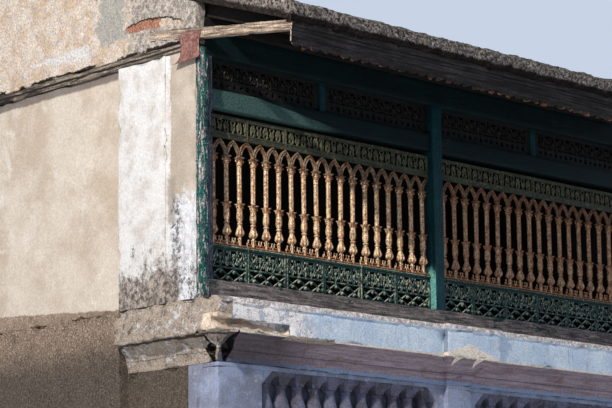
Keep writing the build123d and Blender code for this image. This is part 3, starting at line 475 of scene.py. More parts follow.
def worn_copper():
    """Thin sheet gone brown and rose, brighter where the rain runs."""
    sheet = Finish("rusted_sheet", 0.65, 0.5, 0.4, metal=0.15)
    mix, cloud = sheet.mix, sheet.cloud
    tone = mix(cloud(0.08, 8, 0.7).band(0.38, 0.62), (0.19, 0.075, 0.06), (0.37, 0.19, 0.165))
    runs = cloud(0.015, 6, stretch=(1, 1, 4)).band(0.58, 0.72, 0, 0.8)
    tone = mix(runs, tone, (0.52, 0.33, 0.29))
    sheet.done(tone, cloud(0.05), 0.004, cloud(0.03).band(0.3, 0.7, 0.4, 0.65))


for make in (cornice_limewash, side_plaster, gable_plaster, roof_crust, rough_render, worn_copper):
    make()
masonry("limewash_base", (0.32, 0.38, 0.54), (0.22, 0.235, 0.32), (0.11, 0.085, 0.09), 0.35,
        (0.4, 0.42, 0.5))
# the balusters' limewash is a darker copy of the base's: painted shade in the recess
masonry("baluster_wash_painted_shade", (0.17, 0.18, 0.27), (0.095, 0.09, 0.12), (0.06, 0.045, 0.045), 0.2,
        (0.25, 0.26, 0.33), 0.4)
masonry("floor_concrete", (0.09, 0.08, 0.075), (0.06, 0.055, 0.05), (0.03, 0.027, 0.025), 0.6)
masonry("broken_tile", (0.25, 0.115, 0.065), (0.12, 0.06, 0.04), (0.04, 0.03, 0.025), 0.08,
        (0.42, 0.25, 0.17), 0.4)
timber("timber_grey", (0.34, 0.3, 0.29), (0.06, 0.05, 0.052), "x", paint=(0.01, 0.055, 0.052), cover=0.57,
       pale=(0.2, 0.18, 0.185))
# timber_teal has a painted patch of sunlight at the left end of the transom.
timber("timber_teal", (0.045, 0.04, 0.038), (0.012, 0.01, 0.01), "x", paint=(0.002, 0.014, 0.018), cover=0.36,
       gloss=0.6, painted_sun_patch=(0.06, 0.125, 0.12), grit=0.6)
timber("timber_raw", (0.74, 0.6, 0.48), (0.12, 0.08, 0.06), "y", pale=(0.42, 0.33, 0.27), lean=-0.138)
# plate_raw has a near-black band between its two layers: painted shade.
timber("plate_raw", (0.42, 0.35, 0.29), (0.015, 0.011, 0.009), "y", pale=(0.1, 0.082, 0.07),
       shaded_gap=(3.346, 3.364))
timber("board_grey", (0.025, 0.021, 0.022), (0.005, 0.004, 0.004), "x", pale=(0.058, 0.05, 0.053),
       ends=(0.5, 0.4, 0.33), grit=0.7)
# near-black timber for the wall plate and rafters under the roof: painted shade
timber("timber_soot", (0.028, 0.023, 0.021), (0.008, 0.007, 0.006), "x", grit=0.4)
# post_teal's left faces are painted paler low down: painted sunlight.
timber("post_teal", (0.15, 0.13, 0.12), (0.04, 0.035, 0.03), "z", paint=(0.003, 0.05, 0.062), cover=0.36,
       gloss=0.55, painted_sunlight=(0.16, 0.46, 0.42), grit=0.6)
timber("jamb_teal", (0.62, 0.6, 0.6), (0.03, 0.027, 0.028), "z", paint=(0.006, 0.105, 0.098), cover=0.475,
       pale=(0.8, 0.78, 0.78), flake=0.032, grit=0.9)
timber("post_grey", (0.13, 0.155, 0.225), (0.012, 0.013, 0.018), "z", paint=(0.012, 0.06, 0.06), cover=0.64,
       pale=(0.24, 0.24, 0.27), streak=(-2.892, -2.884), grit=0.8)
# The cream arcade is painted darker on its arches and on the second bay: painted shade.
cast_iron("iron_cream", paint=(0.8, 0.4, 0.17), worn=(1.0, 0.78, 0.52), rust=(0.24, 0.078, 0.032),
          bare=0.55, painted_shade_rust=0.97, turning=(-0.85, 0.0), speck=0.53, dirt_and_painted_shade=(0.06, 0.032, 0.022),
          shade_above=2.42, shade_beyond=0.0)
cast_iron("iron_green", paint=(0.014, 0.07, 0.068), worn=(0.44, 0.48, 0.38), rust=(0.022, 0.032, 0.024),
          bare=0.605, painted_shade_rust=0.85, speck=0.62, dirt_and_painted_shade=(0.01, 0.012, 0.01))
cast_iron("iron_olive", paint=(0.058, 0.068, 0.042), worn=(0.17, 0.165, 0.105), rust=(0.045, 0.032, 0.02),
          bare=0.56, painted_shade_rust=0.5, grit=0.4)
cast_iron("fret_dark", paint=(0.007, 0.008, 0.008), worn=(0.035, 0.028, 0.024), rust=(0.016, 0.01, 0.008),
          bare=0.6, painted_shade_rust=0.5, grit=0.5)

# shapes
slots = {part["node"]: part["material_slot"] for part in frame["record"]["subparts"]}


def piece(name, shape, finish, *stands_for, slot=None, smooth=None):
    """Makes a shape a piece that rides on the gallery, in its finish. The slot argument is not used."""
    mesh = bpy.data.meshes.new(name)
    shape.to_mesh(mesh)
    shape.free()
    mesh.materials.append(palette[finish])
    made = placed(name, mesh)
    if smooth:
        mesh.shade_smooth()
        mesh.set_sharp_from_angle(angle=radians(smooth))
    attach(made, "root")
    slot or finish
    if stands_for:
        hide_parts(*stands_for)
    return made


def as_mesh(shape):
    """Closes off a pattern that is repeated, with all its faces outward."""
    bmesh.ops.recalc_face_normals(shape, faces=shape.faces)
    mesh = bpy.data.meshes.new("pattern")
    shape.to_mesh(mesh)
    shape.free()
    return mesh


def stamp(shape, pattern, place):
    """Adds one moved copy of a pattern to a shape."""
    copy = pattern.copy()
    copy.transform(place)
    shape.from_mesh(copy)
    bpy.data.meshes.remove(copy)


def whole(shape):
    return shape.verts[:] + shape.edges[:] + shape.faces[:]


def box(shape, x0, x1, y0, y1, z0, z1, turn=Matrix.Identity(4)):
    sized = Matrix.Diagonal((x1 - x0, y1 - y0, z1 - z0, 1))
    middle = at((x0 + x1) / 2, (y0 + y1) / 2, (z0 + z1) / 2)
    bmesh.ops.create_cube(shape, size=1.0, matrix=middle @ turn @ sized)


def ball(shape, place, radius, around=6, rows=4):
    bmesh.ops.create_uvsphere(shape, u_segments=around, v_segments=rows, radius=radius, matrix=place)


def bar(shape, start, end, thick, sides=6, flat=1.0):
    start, run = Vector(start), Vector(end) - Vector(start)
    stand = run.to_track_quat("Z", "Y").to_matrix().to_4x4()
    place = at(*(start + run / 2)) @ stand @ Matrix.Diagonal((1, flat, 1, 1))
    size = {"radius1": thick / 2, "radius2": thick / 2, "depth": run.length}
    bmesh.ops.create_cone(shape, cap_ends=True, segments=sides, matrix=place, **size)


def turned(profile, steps, shaping=None, turn=0.0):
    """Spins a profile of (radius, height) in millimetres, then lets shaping swell and lift each point."""
    shape = bmesh.new()
    line = [shape.verts.new((radius / 1000, 0, height / 1000)) for radius, height in profile]
    edges = [shape.edges.new(pair) for pair in zip(line, line[1:])]
    bmesh.ops.spin(shape, geom=line + edges, axis=(0, 0, 1), angle=2 * pi, steps=steps, use_merge=True)
    bmesh.ops.remove_doubles(shape, verts=shape.verts, dist=1e-5)
    bmesh.ops.holes_fill(shape, edges=[edge for edge in shape.edges if edge.is_boundary])
    bmesh.ops.rotate(shape, matrix=Matrix.Rotation(turn, 3, "Z"), verts=shape.verts)
    if shaping:
        for vert in shape.verts:
            swell, lift = shaping(atan2(vert.co.y, vert.co.x), vert.co.z * 1000)
            vert.co = Vector((vert.co.x * swell, vert.co.y * swell, vert.co.z + lift / 1000))
    return as_mesh(shape)


def scroll(shape, start, heading, moves, thick):
    """A cast scroll in the plane of the screen. Moves are (radius, angle): a bend to the left is positive."""
    direction = Vector((cos(heading), 0, sin(heading)))
    stand = direction.to_track_quat("Z", "Y").to_matrix().to_4x4()
    ring = {"radius": thick / 2, "segments": 5, "matrix": at(*start) @ stand}
    first = bmesh.ops.create_circle(shape, cap_ends=True, **ring)["verts"]
    last = {item for vert in first for item in (vert, *vert.link_edges, *vert.link_faces)}
    here = Vector(start)
    for radius, angle in moves:
        centre = here + Vector((-direction.z, 0, direction.x)) * copysign(radius, angle)
        steps = max(2, round(abs(angle) / 0.5))
        bend = {"cent": centre, "axis": (0, -1, 0), "angle": angle}
        last = bmesh.ops.spin(shape, geom=list(last), steps=steps, **bend)["geom_last"]
        turn = Matrix.Rotation(angle, 3, (0, -1, 0))
        here = centre + turn @ (here - centre)
        direction = turn @ direction


def twin_scrolls(shape, rows):
    """Scrolls with their mirror images. A row has the start, a heading of up or down and its tilt outward,
    the moves, and the thickness."""
    for (x, y, z), upright, tilt, moves, thick in rows:
        for side in (1, -1):
            bends = [(radius, side * angle) for radius, angle in moves]
            scroll(shape, (side * x, y, z), upright * pi / 2 - side * tilt, bends, thick)


def sharp_edges(shape, limit=0.35):
    return [edge for edge in shape.edges if len(edge.link_faces) == 2 and edge.calc_face_angle(0) > limit]


def ease(shape, edges, width, steps):
    form = {"offset": width, "segments": steps, "profile": 0.5, "affect": "EDGES", "material": -1}
    bmesh.ops.bevel(shape, geom=edges, **form)


def cut(shape, place, normal, **rest):
    plane = {"plane_co": place, "plane_no": normal}
    bmesh.ops.bisect_plane(shape, geom=whole(shape), dist=1e-5, **plane, **rest)


def slice_at(shape, normal, distances):
    """Cuts a shape by parallel planes at the given distances from the origin."""
    normal = Vector(normal).normalized()
    for distance in distances:
        cut(shape, normal * distance, normal)


def evenly(low, high, step):
    count = int((high - low) / step)
    return [low + (high - low) * number / (count + 1) for number in range(1, count + 1)]


def cut_up(shape, step):
    """Slices a shape along the three axes, so that its faces can be worn uneven."""
    for axis in range(3):
        if step[axis]:
            places = [vert.co[axis] for vert in shape.verts]
            normal = [float(other == axis) for other in range(3)]
            slice_at(shape, normal, evenly(min(places), max(places), step[axis]))


def merged(node):
    """A CAD node's solid without doubled points, and with flat faces in one piece."""
    shape = bmesh.new()
    shape.from_mesh(frame["nodes"][node].data)
    bmesh.ops.remove_doubles(shape, verts=shape.verts, dist=1e-5)
    bmesh.ops.dissolve_limit(shape, angle_limit=0.02, verts=shape.verts, edges=shape.edges)
    return shape


def move_all(moves):
    """Moves each point only after all the moves are known."""
    for vert, move in moves.items():
        vert.co += move


def uneven(shape, depth, size, chips=0.0, broken=None, grain=None):
    """Wears a surface by a slow noise, chips its arrises, and roughens what is broken."""
    shape.normal_update()
    arris = {vert for edge in sharp_edges(shape, 0.3) for vert in edge.verts} if chips else set()
    along = Vector((1, 1, 1))
    if grain is not None:
        along[grain] = 0.2
    moves = {}
    for vert in shape.verts:
        push = noise.noise(vert.co * along / size) * depth
        if vert in arris:
            bite = noise.noise(vert.co / 0.09 + Vector((9, 4, 7)))
            push -= max(0.0, bite - 0.12) * chips * 3
        if broken and broken(vert.co):
            push += noise.fractal(vert.co / 0.11, 0.8, 2.2, 4) * 0.028 - 0.008
        moves[vert] = vert.normal * push
    move_all(moves)


def worn(nodes, finish, step, depth=0.002, size=0.25, bevel=0.004, **wear):
    """The solids of CAD nodes with eased arrises, cut up and worn uneven."""
    for node in nodes.split():
        shape = merged(node)
        ease(shape, sharp_edges(shape), bevel, 2)
        cut_up(shape, step)
        uneven(shape, depth, size, **wear)
        piece(f"{node}_worn", shape, finish, node, slot=slots[node], smooth=40)


# cast screens
COLUMN_PITCH = 0.1524
PANEL = 3 * COLUMN_PITCH
PANEL_HALF = 0.2271
PANEL_Y = (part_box("arcade_bay_1")[0].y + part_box("arcade_bay_1")[1].y) / 2

# each panel hangs a little differently: roll in radians, and place outward in metres
LEANS = [(-0.006, 0.004), (0.008, 0.002), (-0.005, -0.003), (0.007, 0.003), (0.0, -0.006), (-0.007, -0.001)]


def hung(kind, finish, panel):
    """Both bays of one kind of screen: a piece a bay, with six panels that are alike."""
    pattern = as_mesh(panel)
    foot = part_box(f"{kind}_bay_1")[0].z
    for number in (1, 2):
        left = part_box(f"arcade_bay_{number}")[0].x
        shape = bmesh.new()
        for count in range(6):
            roll, out = LEANS[(count + 2 * (number - 1)) % 6]
            place = at(left + PANEL * (count + 0.5), PANEL_Y + out, foot)
            stamp(shape, pattern, place @ Matrix.Rotation(roll, 4, "X"))
        piece(f"{kind}_screen_{number}", shape, finish, f"{kind}_bay_{number}", smooth=35)


def rail(panel, y, z, thick, sides=6, flat=1.0, ends=(-PANEL_HALF, PANEL_HALF)):
    bar(panel, (ends[0], y, z), (ends[1], y, z), thick, sides, flat)


# heights in millimetres, how many leaves, ribs or flutes a quarter turn has, how far they swell the column
# from its least, and how far they lift it
COLUMN_WAVES = (
    (88, 140, 3, 0.76, 0.3, -7), (140, 180, 3, 0.86, 0.18, 0), (212, 346, 4, 0.88, 0.17, 0),
    (346, 368, 2, 0.7, 0.44, 9), (372, 706, 4, 0.82, 0.22, 0), (745, 780, 2, 0.72, 0.42, 4),
)


def column_form(angle, height):
    """How much a column swells and lifts, by its angle and its height."""
    for low, high, waves, least, swell, lift in COLUMN_WAVES:
        if low < height < high:
            wave = abs(sin(2 * angle)) ** 1.5 if waves == 2 else abs(cos(waves * angle))
            return least + swell * wave, lift * wave
    return 1.0, 0


COLUMN_PROFILE = [
    (15, 4), (17, 12), (15, 22), (14, 60), (14, 84), (19, 92), (29, 100), (37, 110), (40, 121), (38, 132),
    (31, 146), (25, 162), (20, 178), (18, 188), (25, 192), (26, 199), (22, 205), (17, 208), (19, 214),
    (25, 230), (28, 250), (28, 272), (26, 295), (24, 318), (25, 335), (32, 350), (40, 359), (43, 364),
    (38, 366), (25, 366.5), (20, 370), (19.5, 380), (20.5, 450), (20.5, 540), (20.5, 630), (20.5, 706),
    (27, 711), (28, 716), (23, 720), (28, 725), (28, 733), (21, 737), (22, 748), (27, 760), (36, 768),
    (42, 773), (39, 777), (26, 780), (20, 800),
]
column = turned(COLUMN_PROFILE, 24, column_form)

# one lancet rib: a moulded section spun to each side round its own centre, trimmed at the apex
RIB_SECTION = ((0, -9), (5, -13), (11, -9), (12, 4), (20, 4), (21, -9), (27, -13), (32, -9), (32, 9), (0, 9))
RIB_RADIUS, RIB_CENTRE = 0.142, 0.086
rib = bmesh.new()
rib.faces.new([rib.verts.new((RIB_RADIUS - RIB_CENTRE + x / 1000, y / 1000, 0)) for x, y in RIB_SECTION])
bmesh.ops.spin(rib, geom=rib.faces[:], cent=(-RIB_CENTRE, 0, 0), axis=(0, -1, 0), angle=radians(61), steps=9)
cut(rib, (0, 0, 0), (-1, 0, 0), clear_outer=True)
bmesh.ops.mirror(rib, geom=whole(rib), axis="X", merge_dist=1e-4)
ball(rib, at(0, -0.008, 0.142), 0.009)
lancet = as_mesh(rib)

# capital curls
curls = bmesh.new()
twin_scrolls(curls, (
    ((0.018, -0.004, 0.742), UP, pi / 6, ((0.03, -0.7), (0.009, -3.9)), 0.011),
    ((0.016, -0.006, 0.33), UP, pi / 6, ((0.04, -0.6), (0.006, -3.2)), 0.008),
))
column_curls = as_mesh(curls)

# cresting between the feet of the columns: two loops with balls at their tips, and a bud
crest = bmesh.new()
for centre in (-0.036, 0.036):
    loop = ((1.0, 0.018), (0.021, pi), (1.0, 0.018))
    scroll(crest, (centre - 0.021, -0.004, 0.064), -pi / 2, loop, 0.0105)
    for side in (-1, 1):
        ball(crest, at(centre + side * 0.021, -0.004, 0.064), 0.0095)
ball(crest, at(0, -0.002, 0.03) @ Matrix.Diagonal((1, 1, 2.4, 1)), 0.008, rows=5)
cresting = as_mesh(crest)

LANCET_FOOT = 0.7742
arcade = bmesh.new()
for index in (-1, 0, 1):
    stamp(arcade, column, at(index * COLUMN_PITCH, 0, 0))
    stamp(arcade, column_curls, at(index * COLUMN_PITCH, 0, 0))
    stamp(arcade, cresting, at((index - 0.5) * COLUMN_PITCH, 0, 0))
for index in range(4):
    stamp(arcade, lancet, at((index - 1.5) * COLUMN_PITCH, 0, LANCET_FOOT))
for side in (-1, 1):
    cut(arcade, (side * PANEL_HALF, 0, 0), (side, 0, 0), clear_outer=True)
bmesh.ops.holes_fill(arcade, edges=[edge for edge in arcade.edges if edge.is_boundary])
box(arcade, -PANEL_HALF, PANEL_HALF, -0.011, 0.011, 0, 0.014)
hung("arcade", "iron_cream", arcade)

# lower grille: torus rail, band of scrolls, thin rail, diamond lattice with knobs
LATTICE_LOW, LATTICE_HIGH = 0.016, 0.12
LATTICE_SLOPE = 0.052 / (COLUMN_PITCH / 2)
motif = bmesh.new()
twin_scrolls(motif, (
    ((0.006, 0, 0.142), UP, 0.5, ((0.05, 1.0), (0.016, 3.6)), 0.0135),
    ((0.04, 0, 0.272), DOWN, 0.4, ((0.045, 1.1), (0.014, 3.6)), 0.0135),
    ((0.072, 0, 0.15), UP, -0.15, ((0.09, -0.9), (0.012, -3.4)), 0.0115),
))
for side in (1, -1):
    bar(motif, (side * COLUMN_PITCH / 2, 0, 0.136), (side * 0.034, 0, 0.205), 0.011, 5)
    bar(motif, (side * 0.012, 0, 0.21), (side * 0.034, 0, 0.282), 0.012, 5)
for x, z, radius in ((0, 206, 16), (76.2, 208, 13), (0, 262, 11), (38, 165, 11), (-38, 165, 11)):
    ball(motif, at(x / 1000, -0.004, z / 1000), radius / 1000, 7, 5)
scroll_motif = as_mesh(motif)

grille = bmesh.new()
rail(grille, -0.002, 0.303, 0.042, 10, 0.8)
rail(grille, -0.004, 0.279, 0.012)
rail(grille, -0.003, 0.127, 0.017, 8)
box(grille, -PANEL_HALF, PANEL_HALF, -0.011, 0.011, 0, 0.016)
for side in (-1, 1):
    stile = side * (PANEL_HALF - 0.011)
    box(grille, stile - 0.006, stile + 0.006, -0.014, 0.012, 0, 0.285)
for step in range(-7, 8, 2):
    for lean in (-1, 1):
        start = Vector((step * COLUMN_PITCH / 2, lean * 0.003, LATTICE_LOW - 0.005))
        rise = LATTICE_HIGH - LATTICE_LOW + 0.01
        run = Vector((lean * rise / LATTICE_SLOPE, 0, rise))
        shares = sorted((edge - start.x) / run.x for edge in (-PANEL_HALF, PANEL_HALF))
        first, last = max(0.0, shares[0]), min(1.0, shares[1])
        if last - first > 0.08:
            bar(grille, start + run * first, start + run * last, 0.017, 5)
for height, shift in ((0.021, 0), (0.073, 0.5)):
    for step in range(-2, 3):
        x = (step + shift) * COLUMN_PITCH
        if abs(x) < PANEL_HALF - 0.01:
            ball(grille, at(x, -0.006, LATTICE_LOW + height), 0.0175, 8, 6)
for index in (-1, 0, 1):
    stamp(grille, scroll_motif, at(index * COLUMN_PITCH, 0, 0))
hung("grille", "iron_green", grille)

# frieze: three motifs of scrolls and leaves between a lower and an upper rail
leafy = bmesh.new()
twin_scrolls(leafy, (
    ((0.006, 0, 0.054), UP, 0.9, ((0.08, 0.95), (0.024, 3.9)), 0.018),
    ((0.11, 0, 0.056), UP, -0.5, ((0.06, -0.8), (0.02, -3.6)), 0.016),
    ((0.112, 0, 0.166), UP, -1.4, ((0.05, 0.5), (0.015, 3.2)), 0.014),
))
for side in (-1, 1):
    for x, z, lean, wide, tall in ((30, 86, -0.5, 11, 26), (90, 110, 0.3, 12, 28), (14, 142, 0.2, 10, 24)):
        turn = Matrix.Rotation(side * lean, 4, "Y") @ Matrix.Diagonal((wide, 7, tall, 1))
        ball(leafy, at(side * x / 1000, -0.003, z / 1000) @ turn, 0.001, rows=5)
leaf_motif = as_mesh(leafy)

frieze = bmesh.new()
for index in (-1, 0, 1):
    stamp(frieze, leaf_motif, at(index * PANEL_HALF * 2 / 3, 0, 0) @ Matrix.Diagonal((2 / 3, 1, 1, 1)))
for side in (-1, 1):
    stile = side * (PANEL_HALF - 0.006)
    box(frieze, stile - 0.004, stile + 0.004, -0.013, 0.011, 0, 0.2)
box(frieze, -PANEL_HALF, PANEL_HALF, -0.009, 0.009, 0, 0.052)
box(frieze, -PANEL_HALF, PANEL_HALF, -0.009, 0.009, 0.172, 0.2)
rail(frieze, -0.009, 0.008, 0.014)
rail(frieze, -0.01, 0.05, 0.014)
rail(frieze, -0.008, 0.176, 0.012)
hung("frieze", "iron_olive", frieze)

# upper lights: curls over a row of drops and hearts
CELL_WIDE, CELL_TALL, CELL_THICK = COLUMN_PITCH / 2, 0.08, 0.012

# corners of the holes in millimetres, anticlockwise from the lower left
DROP = ((-18, -18), (0, -30), (18, -18), (20, -4), (12, 14), (0, 34), (-12, 14), (-20, -4))
HEART = ((-10, -14), (0, -22), (10, -14), (20, 0), (14, 16), (0, 8), (-14, 16), (-20, 0))


def pierced(outline):
    """A small plate with an eight-cornered hole."""
    shape = bmesh.new()
    bmesh.ops.create_grid(shape, x_segments=4, y_segments=4, size=1.0)
    inner = [vert for vert in shape.verts if max(abs(vert.co.x), abs(vert.co.y)) < 0.75]
    centre = [vert for vert in inner if vert.co.length < 0.1]
    around = sorted(set(inner) - set(centre), key=lambda vert: atan2(vert.co.y, vert.co.x))
    for vert in shape.verts:
        if vert not in inner:
            vert.co.x, vert.co.y = vert.co.x * CELL_WIDE / 2, vert.co.y * CELL_TALL / 2
    for vert, (x, y) in zip(around, outline):
        vert.co.x, vert.co.y = x / 1000, y / 1000
    bmesh.ops.delete(shape, geom=centre, context="VERTS")
    bmesh.ops.rotate(shape, matrix=Matrix.Rotation(pi / 2, 3, "X"), verts=shape.verts)
    thicken(shape, shape.faces[:], CELL_THICK)
    return as_mesh(shape)


def thicken(shape, faces, thick):
    """Pulls the back of a flat sheet away from its front."""
    made = bmesh.ops.extrude_face_region(shape, geom=faces)["geom"]
    back = [item for item in made if isinstance(item, bmesh.types.BMVert)]
    bmesh.ops.translate(shape, vec=(0, thick, 0), verts=back)


cells = (pierced(HEART), pierced(DROP))
for number in (1, 2):
    low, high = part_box(f"fret_bay_{number}")
    middle = (low.x + high.x) / 2
    shape = bmesh.new()
    for x0, x1 in ((low.x, middle - 0.035), (middle + 0.035, high.x)):
        light = bmesh.new()
        count = int((x1 - x0 - 0.05) / CELL_WIDE)
        width = count * CELL_WIDE
        left, right_end = (x0 + x1 - width) / 2, (x0 + x1 + width) / 2
        pairs = count // 2
        for index in range(pairs):
            place = at(left + width * (index + 0.5) / pairs, 0.002, -0.031)
            stamp(light, scroll_motif, place @ Matrix.Diagonal((count / (2 * pairs), 1, 1, 1)))
        for index in range(count):
            place = at(left + CELL_WIDE * (index + 0.5), -0.006, 0.026 + CELL_TALL / 2)
            stamp(light, cells[index % 2], place)
        box(light, x0, x1, -0.009, 0.009, 0, 0.028)
        box(light, x0, x1, -0.009, 0.009, 0.244, 0.276)
        box(light, x0, left + 0.001, -0.009, 0.009, 0.02, 0.25)
        box(light, right_end - 0.001, x1, -0.009, 0.009, 0.02, 0.25)
        rail(light, -0.008, 0.106, 0.01, ends=(x0, x1))
        stamp(shape, as_mesh(light), at(0, PANEL_Y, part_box("fret_bay_1")[0].z))
    piece(f"fret_screen_{number}", shape, "fret_dark", f"fret_bay_{number}", smooth=35)

# masonry balusters: square foot, turned belly and neck, flared square cap
STEM = [
    (72, 54), (78, 60), (76, 70), (58, 78), (52, 84), (58, 94), (72, 116), (82, 146), (84, 176), (78, 212),
    (64, 256), (52, 300), (46, 336), (44, 352), (52, 356), (54, 362), (54, 368), (48, 372), (48, 382),
]
CAP = [(66, 378), (66, 390), (74, 406), (94, 428), (122, 444), (133, 450), (133, 480)]
FOOT = [(105, 0), (105, 50), (98, 56), (60, 57)]
BALUSTERS, BALUSTER_PITCH = 11, 0.195
baluster = bmesh.new()
for profile, steps, turn in ((STEM, 20, 0.0), (CAP, 4, pi / 4), (FOOT, 4, pi / 4)):
    stamp(baluster, turned(profile, steps, turn=turn), Matrix.Identity(4))
baluster = as_mesh(baluster)
for number in (1, 2):
    low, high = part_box(f"balusters_bay_{number}")
    middle = (low + high) / 2
    shape = bmesh.new()
    for count in range(BALUSTERS):
        stamp(shape, baluster, at(middle.x + (count - (BALUSTERS - 1) / 2) * BALUSTER_PITCH, middle.y, low.z))
    uneven(shape, 0.004, 0.06)
    name, node = f"baluster_row_{number}", f"balusters_bay_{number}"
    piece(name, shape, "baluster_wash_painted_shade", node, slot="limewash_base", smooth=40)


# timber, walls and cornice
def torn(point):
    """Where the cornice has lost its face: the left return, and a wedge near the corner."""
    return point.x < -2.93 or (point.x < -2.24 and point.y > -0.347 and 0.86 < point.z < 0.97)


worn("head_beam", "timber_teal", (0.12, 0, 0.055))
worn("transom_bay_1 transom_bay_2", "timber_teal", (0.12, 0, 0.04))
worn("mullions", "post_teal", (0, 0, 0.06))
worn("post_middle", "post_teal", (0.03, 0.03, 0.08))
worn("post_left post_right", "post_grey", (0.03, 0.03, 0.08), depth=0.006, size=0.12)
worn("jambs", "jamb_teal", (0, 0.02, 0.05), depth=0.008, size=0.07, chips=0.02)
worn("sill", "timber_grey", (0.08, 0, 0.03), depth=0.008, size=0.1, chips=0.012, grain=0)
worn("outriggers", "timber_raw", (0, 0.08, 0.03), depth=0.003, size=0.1, chips=0.015, grain=1)
worn("side_plates", "plate_raw", (0, 0.08, 0.015), depth=0.016, size=0.06, chips=0.02, grain=1)
worn("wall_plate", "timber_soot", (0.12, 0, 0))
worn("rafters", "timber_soot", (0, 0, 0))
worn("cornice", "limewash_cornice", (0.07, 0.07, 0.04), 0.007, 0.12, 0.006, chips=0.03, broken=torn)
worn("base_front_wall", "limewash_base", (0.2, 0, 0.1))
worn("base_plinth", "limewash_base", (0.1, 0.05, 0.05), depth=0.004, chips=0.02)
worn("base_piers", "limewash_base", (0.1, 0.06, 0.06), depth=0.004, chips=0.01)
worn("base_lintel", "limewash_base", (0.1, 0.06, 0), depth=0.003)
worn("side_wall_left side_wall_right", "pier_plaster", (0.1, 0.08, 0.08), 0.007, 0.16, chips=0.02)
worn("gable_left gable_right", "gable_plaster", (0, 0.05, 0.05), depth=0.02, size=0.08)
worn("base_side_left base_side_right", "rough_render", (0, 0.06, 0.06), 0.014, 0.07, chips=0.03)

# eave boards
low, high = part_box("eave_boards")
LOBE_PITCH = 0.115


def lapped_board(shape, z0, z1, front, thick, lobes=False):
    """A board with a slightly uneven face, and a scalloped and broken lower edge where it has lobes."""
    steps = round((high.x - low.x) / LOBE_PITCH) * (8 if lobes else 2)
    grid = bmesh.ops.create_grid(shape, x_segments=steps, y_segments=3, size=0.5)["verts"]
    upright = at((low.x + high.x) / 2, front, (z0 + z1) / 2) @ Matrix.Rotation(pi / 2, 4, "X")
    bmesh.ops.transform(shape, matrix=upright @ Matrix.Diagonal((high.x - low.x, z1 - z0, 1, 1)), verts=grid)
    for vert in grid:
        if lobes and vert.co.z < z0 + 0.001:
            phase = ((vert.co.x - low.x) / LOBE_PITCH) % 1.0
            broken = max(0.0, noise.noise(Vector((vert.co.x * 3.1, 5, 0))) - 0.25) * 0.06
            vert.co.z += 0.03 * (1 - sin(pi * phase) ** 0.7) + broken
        elif vert.co.z < z0 + 0.001:
            vert.co.z += noise.noise(Vector((vert.co.x * 1.3, 0, z0))) * 0.008
        vert.co.y += noise.noise(Vector((vert.co.x * 0.9, 0, vert.co.z * 9))) * 0.004
    thicken(shape, list({face for vert in grid for face in vert.link_faces}), thick)


boards = bmesh.new()
drop = high.z - low.z
lapped_board(boards, high.z - 0.045, high.z, low.y, 0.02)
lapped_board(boards, high.z - 0.36 * drop, high.z - 0.04, low.y + 0.007, 0.016)
lapped_board(boards, high.z - 0.62 * drop, high.z - 0.33 * drop, low.y + 0.012, 0.014)
lapped_board(boards, low.z, high.z - 0.58 * drop, low.y + 0.016, 0.012, lobes=True)
bmesh.ops.recalc_face_normals(boards, faces=boards.faces)
piece("eave_valance", boards, "board_grey", "eave_boards", smooth=30)

# broken tile ends that hang behind the scalloped board, smaller towards the left, and some missing
TILE_ENDS = 52
ends = bmesh.new()
for count in range(TILE_ENDS):
    x = low.x + (count + 0.5) * (high.x - low.x) / TILE_ENDS + chance.uniform(-0.02, 0.02)
    share = 0.45 + 0.55 * min(1.0, max(0.0, (x + 1.6) / 2.4))
    wide, tall = chance.uniform(0.06, 0.1) * share, chance.uniform(0.02, 0.038) * share
    if chance.random() < 0.12:
        continue
    tilt = Matrix.Rotation(chance.uniform(-0.2, 0.2), 4, "Y")
    tilt = tilt @ Matrix.Rotation(chance.uniform(-0.4, 0.1), 4, "X")
    foot = low.z + 0.006 + chance.uniform(-0.006, 0.006)
    box(ends, x - wide / 2, x + wide / 2, low.y + 0.024, low.y + 0.06, foot, foot + tall + 0.02, tilt)
ease(ends, ends.edges[:], 0.005, 1)
uneven(ends, 0.012, 0.03)
piece("tile_ends", ends, "broken_tile", slot="roof_crust")

# roof crust
low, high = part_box("roof_slab")
ROOF_THICK = 0.165
outward = Vector((0, -sin(ROOF_SLOPE), cos(ROOF_SLOPE)))
upslope = Vector((0, cos(ROOF_SLOPE), sin(ROOF_SLOPE)))
under = outward.dot(Vector((0, low.y, low.z)))
eave = upslope.dot(Vector((0, low.y, low.z)))
crust = merged("roof_slab")
slice_at(crust, outward, [under + ROOF_THICK * share for share in (0.17, 0.34, 0.5, 0.66, 0.84)])
slice_at(crust, upslope, [eave + 0.03 * number for number in range(-1, 9)])
slice_at(crust, upslope, evenly(eave + 0.27, upslope.dot(high), 0.1))
slice_at(crust, (1, 0, 0), evenly(low.x, high.x, 0.036))
moves = {}
for vert in crust.verts:
    share = (outward.dot(vert.co) - under) / ROOF_THICK
    tuck = min(1.0, max(0.0, (0.4 - share) / 0.3))
    lump = noise.fractal(vert.co / 0.11, 0.9, 2.1, 4)
    fine = noise.noise(vert.co / 0.028)
    move = Vector((0, 0, 0))
    if share > 0.97:
        move += outward * (lump * 0.02 + fine * 0.006 - 0.012)
    if vert.co.y < low.y + 0.06:
        move.y += 0.05 * tuck + 0.02 + lump * 0.018 + fine * 0.014
        move.z += 0.03 * max(0.0, share - 0.6) * lump
    for edge_x, inward in ((low.x, 1), (high.x, -1)):
        if abs(vert.co.x - edge_x) < 0.001:
            move.x += inward * (0.03 * tuck + 0.014 + lump * 0.014 + fine * 0.008)
    moves[vert] = move
move_all(moves)
piece("roof_crust", crust, "roof_crust", "roof_slab", smooth=70)

